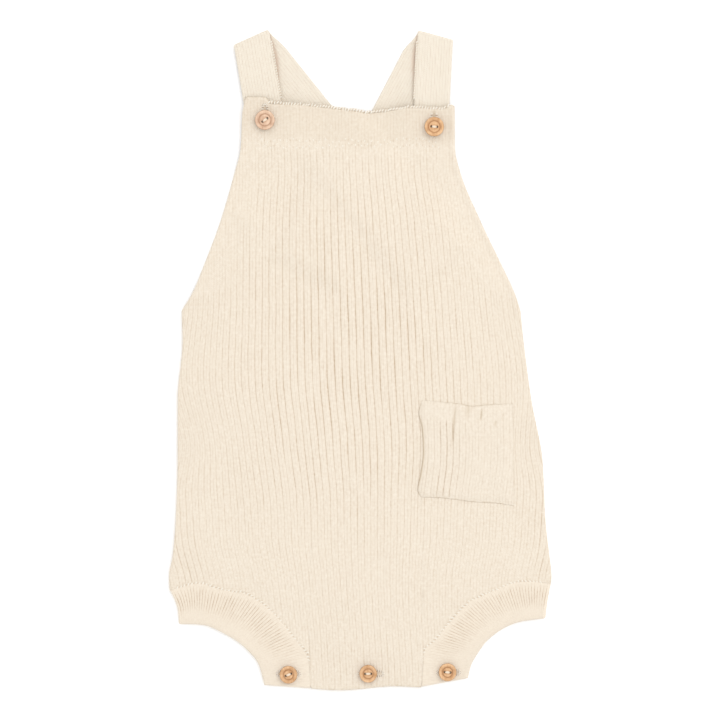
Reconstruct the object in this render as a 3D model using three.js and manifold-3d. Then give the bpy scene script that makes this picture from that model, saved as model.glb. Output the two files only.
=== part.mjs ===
// Knitted baby overalls, buttoned up and laid flat on their back. A ribbed front with a bib lies on a
// plain back. Two shoulder straps are sewn inside the back's top edge, cross, fold over at the top and
// button through behind the bib. A ribbed band closes each leg opening, and three buttons close the
// crotch. Millimetres, +X to the viewer's right, +Y towards the shoulders, +Z up from the surface.

import * as THREE from 'three';
import { mergeVertices } from 'three/addons/utils/BufferGeometryUtils.js';
import Module from 'manifold-3d';

// The cloth.
const CLOTH = 1.8; // thickness of the knitted wall
const GAP = 0.3; // clearance between pieces that touch
const BENT_SEAM_GAP = 0.4; // the same along a leg seam, measured where it is straight
const LAYER = CLOTH + GAP; // height that each piece lying underneath adds
const EDGE_THICKNESS = 0.45; // how thick a cut edge is, as a share of the wall
const EDGE_WIDTH = 1.2; // how far in from an edge the wall has its full thickness
const DRAPE_MARGIN = 4; // cloth keeps its height this far past the edge of what it lies on
const DRAPE_END = 26; // and has come down this far past it
const LOOSE = 0.35; // extra height of the front where it lies over a strap

// The ribs of the body.
const RIB_COUNT = 48; // across the front
const RIB_HEIGHT = 0.5;
const COLUMNS_PER_RIB = 2; // one in the gutter and one on the ridge
const BIB_BAND = 23; // plain knitting along the bib's top edge
const ARMHOLE_BORDER = 12; // plain knitting along each armhole
const RIB_FADE = 7; // over this length a rib sinks into plain knitting

// The straps.
const STRAP_UNDER_BIB = { left: 60, right: 64.5 }; // from the fold to the front end
const STRAP_SEWN = 12; // overlap of each strap on the back's top edge
const STRAP_STEP = 7; // between the rows of a strap's mesh
const STRAP_SETTLES = 14; // over this length past the fold a back run moves aside

// The leg bands.
const BAND_RIBS = 36; // along the front half of each band
const BAND_RIB_HEIGHT = 0.4;
const FOLD_RADIUS = LAYER / 2; // of the wall's middle, where cloth folds flat on itself
const FOLD_REACH = FOLD_RADIUS + CLOTH / 2; // from a fold's axis to its outermost face

// The pocket.
const POCKET_RIBS = 14;
const POCKET_HEM = 10; // plain knitting along the pocket's mouth

// The buttons.
const BUTTON_HEIGHT = 2.4;
const BUTTON_RIM = 1.1; // width of the raised rim
const BUTTON_DISH_DEPTH = 0.7; // how far the middle lies below the rim
const BUTTON_HOLE = { radius: 0.75, spacing: 3.4 };

const COLOURS = {
  body: '#f2e6d3',
  band: '#f0e2ce',
  pocket: '#f4e8d7',
  strap: '#f3e6d6',
  button: '#e0b07c',
};

// The body's ribs run between these sides and lean towards +X in the middle by lean times the half
// width. Above the underarm the sides only guide the ribs, because the armholes cut them away.
const UNDERARM = 30;
const BODY = [
  { y: -138.0, left: -114.3, right: 114.3, lean: 0.052 },
  { y: -129.0, left: -114.6, right: 114.9, lean: 0.052 },
  { y: -117.6, left: -112.5, right: 113.7, lean: 0.052 },
  { y: -96.0, left: -110.7, right: 111.3, lean: 0.052 },
  { y: -60.0, left: -109.5, right: 109.5, lean: 0.03 },
  { y: -24.0, left: -109.5, right: 102.9, lean: 0.02 },
  { y: 12.0, left: -106.5, right: 98.1, lean: 0.01 },
  { y: UNDERARM, left: -107.0, right: 96.3, lean: 0.01 },
  { y: 66.0, left: -104.5, right: 93.5, lean: 0 },
  { y: 117.0, left: -103.5, right: 89.1, lean: 0 },
  { y: 160.0, left: -102.0, right: 87.6, lean: 0 },
];

// The front's armholes, from the underarm to the bib's corners.
const ARMHOLE = [
  { y: UNDERARM, left: -107.0, right: 96.3 },
  { y: 40.8, left: -100.5, right: 92.7 },
  { y: 55.2, left: -94.5, right: 86.1 },
  { y: 84.0, left: -83.7, right: 72.3 },
  { y: 112.8, left: -75.3, right: 60.3 },
  { y: 127.2, left: -71.7, right: 57.0 },
  { y: 148.8, left: -70.5, right: 56.8 },
  { y: 160.0, left: -67.8, right: 56.4 },
];

// The bib's top edge, which dips between the buttons.
const BIB_TOP = [
  { x: -70.0, y: 158.2 },
  { x: -58.5, y: 158.0 },
  { x: -53.5, y: 154.8 },
  { x: -35.7, y: 153.6 },
  { x: -5.7, y: 150.6 },
  { x: 4.5, y: 149.0 },
  { x: 32.1, y: 152.0 },
  { x: 49.5, y: 151.2 },
  { x: 54.9, y: 153.4 },
  { x: 58.0, y: 151.2 },
];

// The front's lower edge: a leg seam, the crotch and the other leg seam.
const CROTCH_CORNER = -190; // the crotch's own edge lies below this height
const LOWER_EDGE = [
  { x: -114.3, y: -138.0 },
  { x: -97.5, y: -133.4 },
  { x: -80.1, y: -138.0 },
  { x: -71.7, y: -138.8 },
  { x: -59.7, y: -144.6 },
  { x: -47.7, y: -156.0 },
  { x: -35.7, y: -171.0 },
  { x: -30.9, y: -177.0 },
  { x: -29.7, y: -196.8 },
  { x: -11.7, y: -198.0 },
  { x: 21.3, y: -195.6 },
  { x: 36.9, y: -196.2 },
  { x: 38.5, y: -173.4 },
  { x: 44.0, y: -168.6 },
  { x: 54.3, y: -156.0 },
  { x: 66.3, y: -144.0 },
  { x: 81.3, y: -137.6 },
  { x: 96.3, y: -132.4 },
  { x: 114.3, y: -133.8 },
];

// The free edge of each leg band, from the crotch to the side.
const LEG_OPENING = {
  left: [
    { x: -57.4, y: -194.8 },
    { x: -60.9, y: -182.4 },
    { x: -66.3, y: -175.2 },
    { x: -74.7, y: -168.0 },
    { x: -87.9, y: -160.8 },
    { x: -95.7, y: -158.6 },
    { x: -108.9, y: -158.2 },
  ],
  right: [
    { x: 64.7, y: -190.7 },
    { x: 66.9, y: -182.4 },
    { x: 71.1, y: -175.2 },
    { x: 76.5, y: -168.0 },
    { x: 86.1, y: -160.8 },
    { x: 96.3, y: -156.8 },
    { x: 111.3, y: -154.8 },
  ],
};

// The back's top edge, which is narrower and lower than the bib.
const BACK_TOP = { y: 74, left: -56, right: 52 };

// Each strap folds over at fold, which is the middle of its fold line. Its front run comes down
// towards the bib and its back run towards the other side, both turned from -Y towards +X. The back
// run doesn't leave the fold quite straight, but settles a little aside.
const STRAPS = {
  left: { fold: { x: -64.9, y: 192.3 }, frontTurn: 9.6, backTurn: 38.6, width: 22.4, aside: 1.7 },
  right: { fold: { x: 45.1, y: 193.5 }, frontTurn: -3, backTurn: -27.5, width: 21.4, aside: -2.8 },
};

// The pocket's sides by height, and its two other edges by share of its width.
const POCKET_SIDES = [
  { y: -88.0, left: 37.5, right: 92.4 },
  { y: -82.0, left: 36.6, right: 92.4 },
  { y: -77.7, left: 34.6, right: 92.3 },
  { y: -68.4, left: 36.3, right: 92.2 },
  { y: -55.0, left: 37.9, right: 92.1 },
  { y: -40.2, left: 37.2, right: 92.0 },
  { y: -31.8, left: 35.3, right: 91.9 },
  { y: -23.0, left: 37.6, right: 91.8 },
];
const POCKET_ENDS = [
  { across: 0, bottom: -81.8, top: -23.8 },
  { across: 0.2, bottom: -82.3, top: -24.9 },
  { across: 0.4, bottom: -83.6, top: -25.8 },
  { across: 0.57, bottom: -84.8, top: -27.4 },
  { across: 0.75, bottom: -85.3, top: -26.4 },
  { across: 1, bottom: -87.0, top: -26.1 },
];

// Each button lies on cloth with ribs of the given height and turns its two holes away from X.
const BUTTONS = [
  { name: 'button_strap_left', x: -57.0, y: 144.1, diameter: 11.8, turn: 36, ribs: 0 },
  { name: 'button_strap_right', x: 44.5, y: 140.1, diameter: 11.6, turn: -4, ribs: 0 },
  { name: 'button_crotch_left', x: -42.9, y: -188.4, diameter: 10.5, turn: 22, ribs: BAND_RIB_HEIGHT },
  { name: 'button_crotch_middle', x: 4.9, y: -187.8, diameter: 10.5, turn: 0, ribs: RIB_HEIGHT },
  { name: 'button_crotch_right', x: 52.5, y: -186.9, diameter: 10.6, turn: -5, ribs: BAND_RIB_HEIGHT },
];

const wasm = await Module();
wasm.setup();

const { clamp, lerp, smoothstep, degToRad } = THREE.MathUtils;

// A smooth curve through one column of a table, which never overshoots its rows.
function through(rows, key, value) {
  const slopes = rows.slice(1).map((row, i) => (row[value] - rows[i][value]) / (row[key] - rows[i][key]));
  const tangents = rows.map((row, i) => {
    const before = slopes[Math.max(i - 1, 0)];
    const after = slopes[Math.min(i, slopes.length - 1)];
    return before * after > 0 ? (2 * before * after) / (before + after) : 0;
  });
  return (at) => {
    const last = rows.length - 2;
    const found = rows.findIndex((row, i) => i > 0 && at < row[key]);
    const i = found < 0 ? last : found - 1;
    const width = rows[i + 1][key] - rows[i][key];
    const t = clamp((at - rows[i][key]) / width, 0, 1);
    const startBend = (1 - t) * (tangents[i] - slopes[i]);
    const endBend = t * (tangents[i + 1] - slopes[i]);
    return lerp(rows[i][value], rows[i + 1][value], t) + t * (1 - t) * width * (startBend - endBend);
  };
}

// Straight lines through one column of a table.
function straightThrough(rows, key, value) {
  return (at) => {
    const found = rows.findIndex((row, i) => i > 0 && at < row[key]);
    const i = found < 0 ? rows.length - 2 : found - 1;
    const t = clamp((at - rows[i][key]) / (rows[i + 1][key] - rows[i][key]), 0, 1);
    return lerp(rows[i][value], rows[i + 1][value], t);
  };
}

const bodyLeft = through(BODY, 'y', 'left');
const bodyRight = through(BODY, 'y', 'right');
const bodyLean = through(BODY, 'y', 'lean');
const armholeLeft = through(ARMHOLE, 'y', 'left');
const armholeRight = through(ARMHOLE, 'y', 'right');
const bibTop = through(BIB_TOP, 'x', 'y');
const lowerEdge = straightThrough(LOWER_EDGE, 'x', 'y');

// X at height y of the rib line that starts at share -1 (left side) to 1 (right side).
function ribX(share, y) {
  const middle = (bodyLeft(y) + bodyRight(y)) / 2;
  const half = (bodyRight(y) - bodyLeft(y)) / 2;
  return middle + half * (share + bodyLean(y) * (1 - share * share));
}

// The back's armholes curve in quickly from the underarm and end upright.
function backArmhole(side, y) {
  const remaining = clamp((BACK_TOP.y - y) / (BACK_TOP.y - UNDERARM), 0, 1);
  const underarm = side === 'left' ? bodyLeft(UNDERARM) : bodyRight(UNDERARM);
  return lerp(BACK_TOP[side], underarm, remaining * remaining);
}

const FRONT_SHAPE = { left: armholeLeft, right: armholeRight, top: bibTop };
const BACK_SHAPE = {
  left: (y) => backArmhole('left', y),
  right: (y) => backArmhole('right', y),
  top: () => BACK_TOP.y,
};

// The height at which a rib line leaves a panel, at an armhole or at its top edge.
function ribTop(share, panel) {
  const inside = (y) => {
    const x = ribX(share, y);
    return y <= panel.top(x) && x >= panel.left(y) && x <= panel.right(y);
  };
  let low = UNDERARM;
  let high = 170;
  while (high - low > 0.01) {
    const y = (low + high) / 2;
    if (inside(y)) low = y;
    else high = y;
  }
  return low;
}

// The height at which a rib line starts, at a leg seam or at the crotch.
function ribBottom(share) {
  return lowerEdge(ribX(share, BODY[0].y));
}

// 1 where a piece lies underneath and falling to 0 away from it.
function near(distance) {
  return 1 - smoothstep(distance, DRAPE_MARGIN, DRAPE_END);
}

function distanceFromBack(x, y) {
  const slope = (2 * (BACK_TOP.left - bodyLeft(UNDERARM)) * (BACK_TOP.y - y)) / (BACK_TOP.y - UNDERARM) ** 2;
  const sideways = Math.max(backArmhole('left', y) - x, x - backArmhole('right', y));
  return y < UNDERARM ? 0 : Math.max(y - BACK_TOP.y, sideways / Math.hypot(1, slope));
}

// A strap's run in its own directions: down along it and across it from its middle.
function runOf(side, part) {
  const { fold, frontTurn, backTurn, width } = STRAPS[side];
  const aside = part === 'back' ? STRAPS[side].aside : 0;
  const turn = degToRad(part === 'front' ? frontTurn : backTurn);
  const drop = fold.y - (BACK_TOP.y - STRAP_SEWN);
  const length = part === 'front' ? STRAP_UNDER_BIB[side] : drop / Math.cos(turn);
  const down = new THREE.Vector2(Math.sin(turn), -Math.cos(turn));
  const across = new THREE.Vector2(Math.cos(turn), Math.sin(turn));
  return { start: new THREE.Vector2(fold.x, fold.y), down, across, length, width, aside };
}

const RUNS = {
  left: { front: runOf('left', 'front'), back: runOf('left', 'back') },
  right: { front: runOf('right', 'front'), back: runOf('right', 'back') },
};

function distanceFromRun(run, x, y) {
  const from = new THREE.Vector2(x, y).sub(run.start);
  const sideways = Math.abs(from.dot(run.across) - run.aside) - run.width / 2;
  return Math.max(sideways, from.dot(run.down) - run.length);
}

// How high the underside of a strap's run lies. Both straps lie on the back's top edge, and the left
// one also on the right one. Near its fold a front run still lies on its back run.
function backRunHeight(side, x, y) {
  const onBack = LAYER * near(distanceFromBack(x, y));
  if (side === 'right') return onBack;
  const onOther = near(distanceFromRun(RUNS.right.back, x, y)) * (backRunHeight('right', x, y) + LAYER);
  return Math.max(onBack, onOther);
}

function frontRunHeight(side, x, y) {
  const run = RUNS[side].front;
  const along = new THREE.Vector2(x, y).sub(run.start).dot(run.down);
  return LAYER * (1 - smoothstep(along, run.length * 0.62, run.length));
}

// How high the front's underside lies on whatever is beneath it.
function frontHeight(x, y) {
  let height = LAYER * near(distanceFromBack(x, y));
  for (const side of ['left', 'right']) {
    const runs = RUNS[side];
    const backRun = backRunHeight(side, x, y) + LAYER + LOOSE;
    const frontRun = frontRunHeight(side, x, y) + LAYER + LOOSE;
    const onBackRun = near(distanceFromRun(runs.back, x, y)) * backRun;
    const onFrontRun = near(distanceFromRun(runs.front, x, y)) * frontRun;
    height = Math.max(height, onBackRun, onFrontRun);
  }
  return height;
}

// How much of their height the ribs have at a point: none in the plain bands along the edges.
function ribStrength(x, y) {
  const fromTop = bibTop(x) - BIB_BAND - y;
  const fromSides = Math.min(x - armholeLeft(y), armholeRight(y) - x) - ARMHOLE_BORDER;
  const fromArmhole = fromSides + 3 * Math.max(0, UNDERARM + ARMHOLE_BORDER - y);
  const fromSeam = y - lowerEdge(x) - EDGE_WIDTH;
  return clamp(Math.min(fromTop, fromArmhole, fromSeam) / RIB_FADE, 0, 1);
}

// A closed cloth wall from two grids, its outer face and its inner face, joined round the rim. The
// inner face skips columns: it uses every coarse-th one. pointAt(i, j) gives both faces' points.
function clothWall({ columns, rows, coarse, pointAt }) {
  const positions = [];
  const index = [];
  const outer = [];
  const inner = [];
  const add = (point) => positions.push(point.x, point.y, point.z) / 3 - 1;
  for (let i = 0; i <= columns; i += 1) {
    const column = [];
    for (let j = 0; j <= rows; j += 1) column.push(pointAt(i, j));
    outer.push(column.map((point) => add(point.outer)));
    if (i % coarse === 0) inner.push(column.map((point) => add(point.inner)));
  }
  coverGrid(index, outer);
  coverGrid(index, [...inner].reverse());
  const ends = (grid, j) => grid.map((column) => column[j]);
  stitchRim(index, ends(outer, 0), ends(inner, 0), coarse);
  stitchRim(index, outer.at(-1), inner.at(-1), 1);
  stitchRim(index, ends(outer, rows).reverse(), ends(inner, rows).reverse(), coarse);
  stitchRim(index, [...outer[0]].reverse(), [...inner[0]].reverse(), 1);
  const geometry = new THREE.BufferGeometry();
  geometry.setAttribute('position', new THREE.Float32BufferAttribute(positions, 3));
  geometry.setIndex(index);
  geometry.computeVertexNormals();
  return geometry;
}

function coverGrid(index, grid) {
  for (let i = 0; i + 1 < grid.length; i += 1) {
    for (let j = 0; j + 1 < grid[i].length; j += 1) {
      index.push(grid[i][j], grid[i + 1][j], grid[i + 1][j + 1]);
      index.push(grid[i][j], grid[i + 1][j + 1], grid[i][j + 1]);
    }
  }
}

// Joins a fine edge of the outer face to a coarse edge of the inner face, step fine pieces to one.
function stitchRim(index, outer, inner, step) {
  for (let k = 0; k + 1 < inner.length; k += 1) {
    const start = k * step;
    const middle = start + Math.ceil(step / 2);
    for (let m = start; m < start + step; m += 1) {
      index.push(outer[m + 1], outer[m], m < middle ? inner[k] : inner[k + 1]);
    }
    index.push(outer[middle], inner[k], inner[k + 1]);
  }
}

function clothMesh(name, geometry, colour) {
  const material = new THREE.MeshStandardMaterial({ color: colour, roughness: 0.95, metalness: 0 });
  const mesh = new THREE.Mesh(geometry, material);
  mesh.name = name;
  return mesh;
}

// The heights of a rib line's points. The lower rows are far apart, the upper ones are close, because
// the cloth steps over straps there, and the first and last gaps are the width of a rounded edge.
function rowHeights(bottom, top, rows) {
  const lowerRows = Math.round(rows * 0.28);
  const change = lerp(bottom, top, 0.6);
  const heights = [bottom];
  for (let j = 0; j < lowerRows; j += 1) {
    heights.push(lerp(bottom + EDGE_WIDTH, change, j / lowerRows));
  }
  const upperRows = rows - 2 - lowerRows;
  for (let j = 0; j <= upperRows; j += 1) {
    heights.push(lerp(change, top - EDGE_WIDTH, j / upperRows));
  }
  heights.push(top);
  return heights;
}

function panelColumns(columns, rows, panel) {
  return Array.from({ length: columns + 1 }, (_, i) => {
    const share = (2 * i) / columns - 1;
    return { share, heights: rowHeights(ribBottom(share), ribTop(share, panel), rows) };
  });
}

const FRONT_COLUMNS = RIB_COUNT * COLUMNS_PER_RIB;
const FRONT_ROWS = 18;
const BACK_COLUMNS = RIB_COUNT;
const BACK_ROWS = 8;
const FRONT_GRID = panelColumns(FRONT_COLUMNS, FRONT_ROWS, FRONT_SHAPE);
const BACK_GRID = panelColumns(BACK_COLUMNS, BACK_ROWS, BACK_SHAPE);

function onRim(i, j, columns, rows) {
  return i === 0 || j === 0 || i === columns || j === rows;
}

// The outer face of the front above a point, without its ribs.
function frontSurface(x, y) {
  return frontHeight(x, y) + CLOTH;
}

function frontPanel() {
  const pointAt = (i, j) => {
    const { share, heights } = FRONT_GRID[i];
    const y = heights[j];
    const x = ribX(share, y);
    const under = frontHeight(x, y);
    const rib = i % COLUMNS_PER_RIB === 1 ? RIB_HEIGHT * ribStrength(x, y) : 0;
    const thickness = onRim(i, j, FRONT_COLUMNS, FRONT_ROWS) ? CLOTH * EDGE_THICKNESS : CLOTH + rib;
    return { outer: new THREE.Vector3(x, y, under + thickness), inner: new THREE.Vector3(x, y, under) };
  };
  const wall = { columns: FRONT_COLUMNS, rows: FRONT_ROWS, coarse: COLUMNS_PER_RIB, pointAt };
  return clothMesh('front_panel', clothWall(wall), COLOURS.body);
}

// The back is plain, because it rests flat on its outer face. Its upper face is towards the front.
function backPanel() {
  const pointAt = (i, j) => {
    const { share, heights } = BACK_GRID[i];
    const y = heights[j];
    const x = ribX(share, y);
    const lift = onRim(i, j, BACK_COLUMNS, BACK_ROWS) ? CLOTH * EDGE_THICKNESS : 0;
    return { outer: new THREE.Vector3(x, y, CLOTH), inner: new THREE.Vector3(x, y, lift) };
  };
  const wall = { columns: BACK_COLUMNS, rows: BACK_ROWS, coarse: 1, pointAt };
  return clothMesh('back_panel', clothWall(wall), COLOURS.body);
}

// The points of a panel's lower edge along one leg seam, from the crotch's bottom to the side.
function legSeam(grid, side) {
  const points = grid.map(({ share, heights }) => new THREE.Vector2(ribX(share, heights[0]), heights[0]));
  const fromSide = side === 'left' ? points : points.reverse();
  const corner = fromSide.findIndex((point) => point.y < CROTCH_CORNER);
  return fromSide.slice(0, corner + 1).reverse();
}

// A path of points with its length, which gives the point and the direction at a distance along it.
function pathOf(points) {
  const lengths = [0];
  for (let i = 1; i < points.length; i += 1) {
    lengths.push(lengths[i - 1] + points[i].distanceTo(points[i - 1]));
  }
  const at = (distance) => {
    const found = lengths.findIndex((length, i) => i > 0 && distance <= length);
    const i = found < 0 ? points.length - 1 : found;
    const t = (distance - lengths[i - 1]) / (lengths[i] - lengths[i - 1]);
    const direction = points[i].clone().sub(points[i - 1]).normalize();
    return { point: points[i - 1].clone().lerp(points[i], t), direction };
  };
  return { at, length: lengths.at(-1) };
}

// One leg band: a ribbed strip along the front leg seam that folds round at the side and comes back
// along the back's leg seam. Its ribs run from the seam to the free edge.
function legBand(side) {
  const outward = side === 'left' ? -1 : 1;
  const seams = { front: pathOf(legSeam(FRONT_GRID, side)), back: pathOf(legSeam(BACK_GRID, side)) };
  const corners = LEG_OPENING[side].map(({ x, y }) => new THREE.Vector2(x, y));
  const opening = new THREE.SplineCurve(corners);
  const foldShare = 1 - FOLD_REACH / opening.getLength();
  const front = BAND_RIBS * COLUMNS_PER_RIB;
  const fold = 4;
  const back = 32;
  const acrossShares = [0, 0.06, 0.5, 0.95, 1];
  const rows = acrossShares.length - 1;

  const flatPoint = (half, share, across) => {
    const path = seams[half];
    const { point, direction } = path.at(share * (path.length - FOLD_REACH));
    const away = new THREE.Vector2(-direction.y, direction.x).multiplyScalar(-outward * BENT_SEAM_GAP);
    return point.add(away).lerp(opening.getPointAt(share * foldShare), across);
  };
  const placeOf = (i) => {
    if (i <= front) return { half: 'front', share: i / front, angle: Math.PI / 2 };
    if (i < front + fold) return { half: 'front', share: 1, angle: Math.PI * (0.5 - (i - front) / fold) };
    return { half: 'back', share: 1 - (i - front - fold) / back, angle: -Math.PI / 2 };
  };
  const pointAt = (i, j) => {
    const { half, share, angle } = placeOf(i);
    const flat = flatPoint(half, share, acrossShares[j]);
    const out = new THREE.Vector3(outward * Math.cos(angle), 0, Math.sin(angle));
    const centre = new THREE.Vector3(flat.x, flat.y, FOLD_REACH);
    const ribbed = i < front && i % COLUMNS_PER_RIB === 1 ? BAND_RIB_HEIGHT * (1 - acrossShares[j]) : 0;
    const atRim = j === 0 || j === rows || i === 0 || i === front + fold + back;
    const thickness = atRim ? CLOTH * EDGE_THICKNESS : CLOTH + ribbed;
    const insideRadius = FOLD_RADIUS - CLOTH / 2;
    return {
      outer: centre.clone().addScaledVector(out, insideRadius + thickness),
      inner: centre.clone().addScaledVector(out, insideRadius),
    };
  };
  // The left band's columns run clockwise seen from above, so they are taken in the other order.
  const columns = front + fold + back;
  const ordered = side === 'left' ? (i, j) => pointAt(columns - i, rows - j) : (i, j) => pointAt(i, rows - j);
  const wall = { columns, rows, coarse: COLUMNS_PER_RIB, pointAt: ordered };
  return clothMesh(`leg_band_${side}`, clothWall(wall), COLOURS.band);
}

// The pocket is made from the front's surface under it, moved out.
function pocket() {
  const left = through(POCKET_SIDES, 'y', 'left');
  const right = through(POCKET_SIDES, 'y', 'right');
  const bottom = through(POCKET_ENDS, 'across', 'bottom');
  const top = through(POCKET_ENDS, 'across', 'top');
  const columns = POCKET_RIBS * COLUMNS_PER_RIB;
  const upShares = [0, 0.02, 0.2, 0.4, 0.6, 0.8, 0.98, 1];
  const rows = upShares.length - 1;
  const pointAt = (i, j) => {
    const across = i / columns;
    const y = lerp(bottom(across), top(across), upShares[j]);
    const x = lerp(left(y), right(y), across);
    const under = frontSurface(x, y) + RIB_HEIGHT + GAP;
    const fromHem = top(across) - POCKET_HEM - y;
    const rib = i % COLUMNS_PER_RIB === 1 ? RIB_HEIGHT * clamp(fromHem / RIB_FADE, 0, 1) : 0;
    const thickness = onRim(i, j, columns, rows) ? CLOTH * EDGE_THICKNESS : CLOTH + rib;
    return { outer: new THREE.Vector3(x, y, under + thickness), inner: new THREE.Vector3(x, y, under) };
  };
  return clothMesh('pocket', clothWall({ columns, rows, coarse: COLUMNS_PER_RIB, pointAt }), COLOURS.pocket);
}

// One strap: its back run, the fold and its front run. Near the fold its rows lie along the slanting
// fold line, and at its two ends they lie straight across.
function strap(side) {
  const { fold, frontTurn, backTurn, width } = STRAPS[side];
  const foldTurn = degToRad((frontTurn + backTurn) / 2);
  const foldOut = new THREE.Vector2(-Math.sin(foldTurn), Math.cos(foldTurn));
  const skew = Math.tan(degToRad((backTurn - frontTurn) / 2));
  const columns = 4;
  const foldRows = 4;
  const backRows = Math.ceil(RUNS[side].back.length / STRAP_STEP);
  const frontRows = Math.ceil(RUNS[side].front.length / STRAP_STEP);
  const rows = backRows + foldRows + frontRows;

  // A point of the strap's inner face where the wall lies flat, and on a face moved out from it.
  const flatPoint = (part, share, across, height, out) => {
    const run = RUNS[side][part];
    const slant = (part === 'front' ? -skew : skew) * (1 - smoothstep(share, 0.1, 0.9));
    const along = share * run.length + across * slant;
    const beside = across + run.aside * smoothstep(share * run.length, 0, STRAP_SETTLES);
    const place = run.start.clone().addScaledVector(run.down, along).addScaledVector(run.across, beside);
    return new THREE.Vector3(place.x, place.y, height(side, place.x, place.y) + out);
  };
  const foldedPoint = (angle, across, radius) => {
    const place = new THREE.Vector2(Math.cos(foldTurn), Math.sin(foldTurn));
    place.multiplyScalar(across / Math.cos(degToRad((backTurn - frontTurn) / 2)));
    place.add(new THREE.Vector2(fold.x, fold.y)).addScaledVector(foldOut, radius * Math.cos(angle));
    return new THREE.Vector3(place.x, place.y, FOLD_REACH + radius * Math.sin(angle));
  };
  const insideRadius = FOLD_RADIUS - CLOTH / 2;
  const pointAt = (i, j) => {
    const across = width * (i / columns - 0.5);
    const atRim = onRim(i, j, columns, rows);
    const thickness = atRim ? CLOTH * EDGE_THICKNESS : CLOTH;
    if (j < backRows) {
      const share = 1 - j / backRows;
      return {
        outer: flatPoint('back', share, across, backRunHeight, CLOTH - thickness),
        inner: flatPoint('back', share, across, backRunHeight, CLOTH),
      };
    }
    if (j <= backRows + foldRows) {
      const angle = Math.PI * ((j - backRows) / foldRows - 0.5);
      return {
        outer: foldedPoint(angle, across, insideRadius + thickness),
        inner: foldedPoint(angle, across, insideRadius),
      };
    }
    const share = (j - backRows - foldRows) / frontRows;
    return {
      outer: flatPoint('front', share, across, frontRunHeight, thickness),
      inner: flatPoint('front', share, across, frontRunHeight, 0),
    };
  };
  // Seen from outside the cloth, the columns run from right to left.
  const ordered = (i, j) => pointAt(columns - i, j);
  return clothMesh(`strap_${side}`, clothWall({ columns, rows, coarse: 1, pointAt: ordered }), COLOURS.strap);
}

function toManifold(geometry) {
  const bare = new THREE.BufferGeometry();
  bare.setAttribute('position', geometry.getAttribute('position'));
  bare.setIndex(geometry.getIndex());
  const merged = mergeVertices(bare, 1e-4);
  const corners = merged.getIndex().array;
  const kept = [];
  for (let k = 0; k < corners.length; k += 3) {
    const [a, b, c] = corners.slice(k, k + 3);
    if (a !== b && b !== c && c !== a) kept.push(a, b, c);
  }
  const vertProperties = new Float32Array(merged.getAttribute('position').array);
  const mesh = new wasm.Mesh({ numProp: 3, vertProperties, triVerts: new Uint32Array(kept) });
  return new wasm.Manifold(mesh);
}

function toGeometry(solid) {
  const mesh = solid.getMesh();
  const geometry = new THREE.BufferGeometry();
  geometry.setAttribute('position', new THREE.BufferAttribute(new Float32Array(mesh.vertProperties), 3));
  geometry.setIndex(new THREE.BufferAttribute(new Uint32Array(mesh.triVerts), 1));
  geometry.computeVertexNormals();
  return geometry;
}

// A turned wooden button with a raised rim, a dished middle and two holes.
function button({ name, x, y, diameter, turn, ribs }) {
  const radius = diameter / 2;
  const dish = radius - BUTTON_RIM - 1.4;
  const profile = [
    [0, 0],
    [radius - 0.7, 0],
    [radius, 0.8],
    [radius, BUTTON_HEIGHT - 0.5],
    [radius - 0.35, BUTTON_HEIGHT],
    [radius - BUTTON_RIM, BUTTON_HEIGHT],
    [dish, BUTTON_HEIGHT - BUTTON_DISH_DEPTH],
    [0, BUTTON_HEIGHT - BUTTON_DISH_DEPTH],
  ].map(([across, up]) => new THREE.Vector2(across, up));
  const turned = new THREE.LatheGeometry(profile, 18).rotateX(Math.PI / 2);
  let solid = toManifold(turned);
  for (const sign of [-1, 1]) {
    const hole = new THREE.CylinderGeometry(BUTTON_HOLE.radius, BUTTON_HOLE.radius, 3 * BUTTON_HEIGHT, 8);
    hole.rotateX(Math.PI / 2).translate((sign * BUTTON_HOLE.spacing) / 2, 0, 0);
    solid = solid.subtract(toManifold(hole));
  }
  const material = new THREE.MeshStandardMaterial({ color: COLOURS.button, roughness: 0.45, metalness: 0 });
  const mesh = new THREE.Mesh(toGeometry(solid), material);
  mesh.name = name;
  mesh.rotation.z = degToRad(turn);
  mesh.position.set(x, y, buttonSeat(x, y, radius) + ribs);
  return mesh;
}

// A button lies on the highest point of the cloth under it.
function buttonSeat(x, y, radius) {
  let highest = 0;
  for (let angle = 0; angle < 2 * Math.PI; angle += Math.PI / 6) {
    for (const share of [0, 0.5, 1]) {
      const under = { x: x + share * radius * Math.cos(angle), y: y + share * radius * Math.sin(angle) };
      highest = Math.max(highest, frontSurface(under.x, under.y));
    }
  }
  return highest + GAP;
}

const group = new THREE.Group();
group.add(backPanel(), strap('right'), strap('left'), frontPanel(), pocket());
group.add(legBand('left'), legBand('right'));
for (const spec of BUTTONS) group.add(button(spec));

export default group;
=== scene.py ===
# Knitted baby overalls in undyed cotton, buttoned up and laid flat on their back on a pale table.
# Sizes are in millimetres and become metres when a mesh is made: +X to the viewer's right, +Y towards
# the shoulders, +Z up from the table. Every piece rides on the one body, root.
import math

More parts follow.
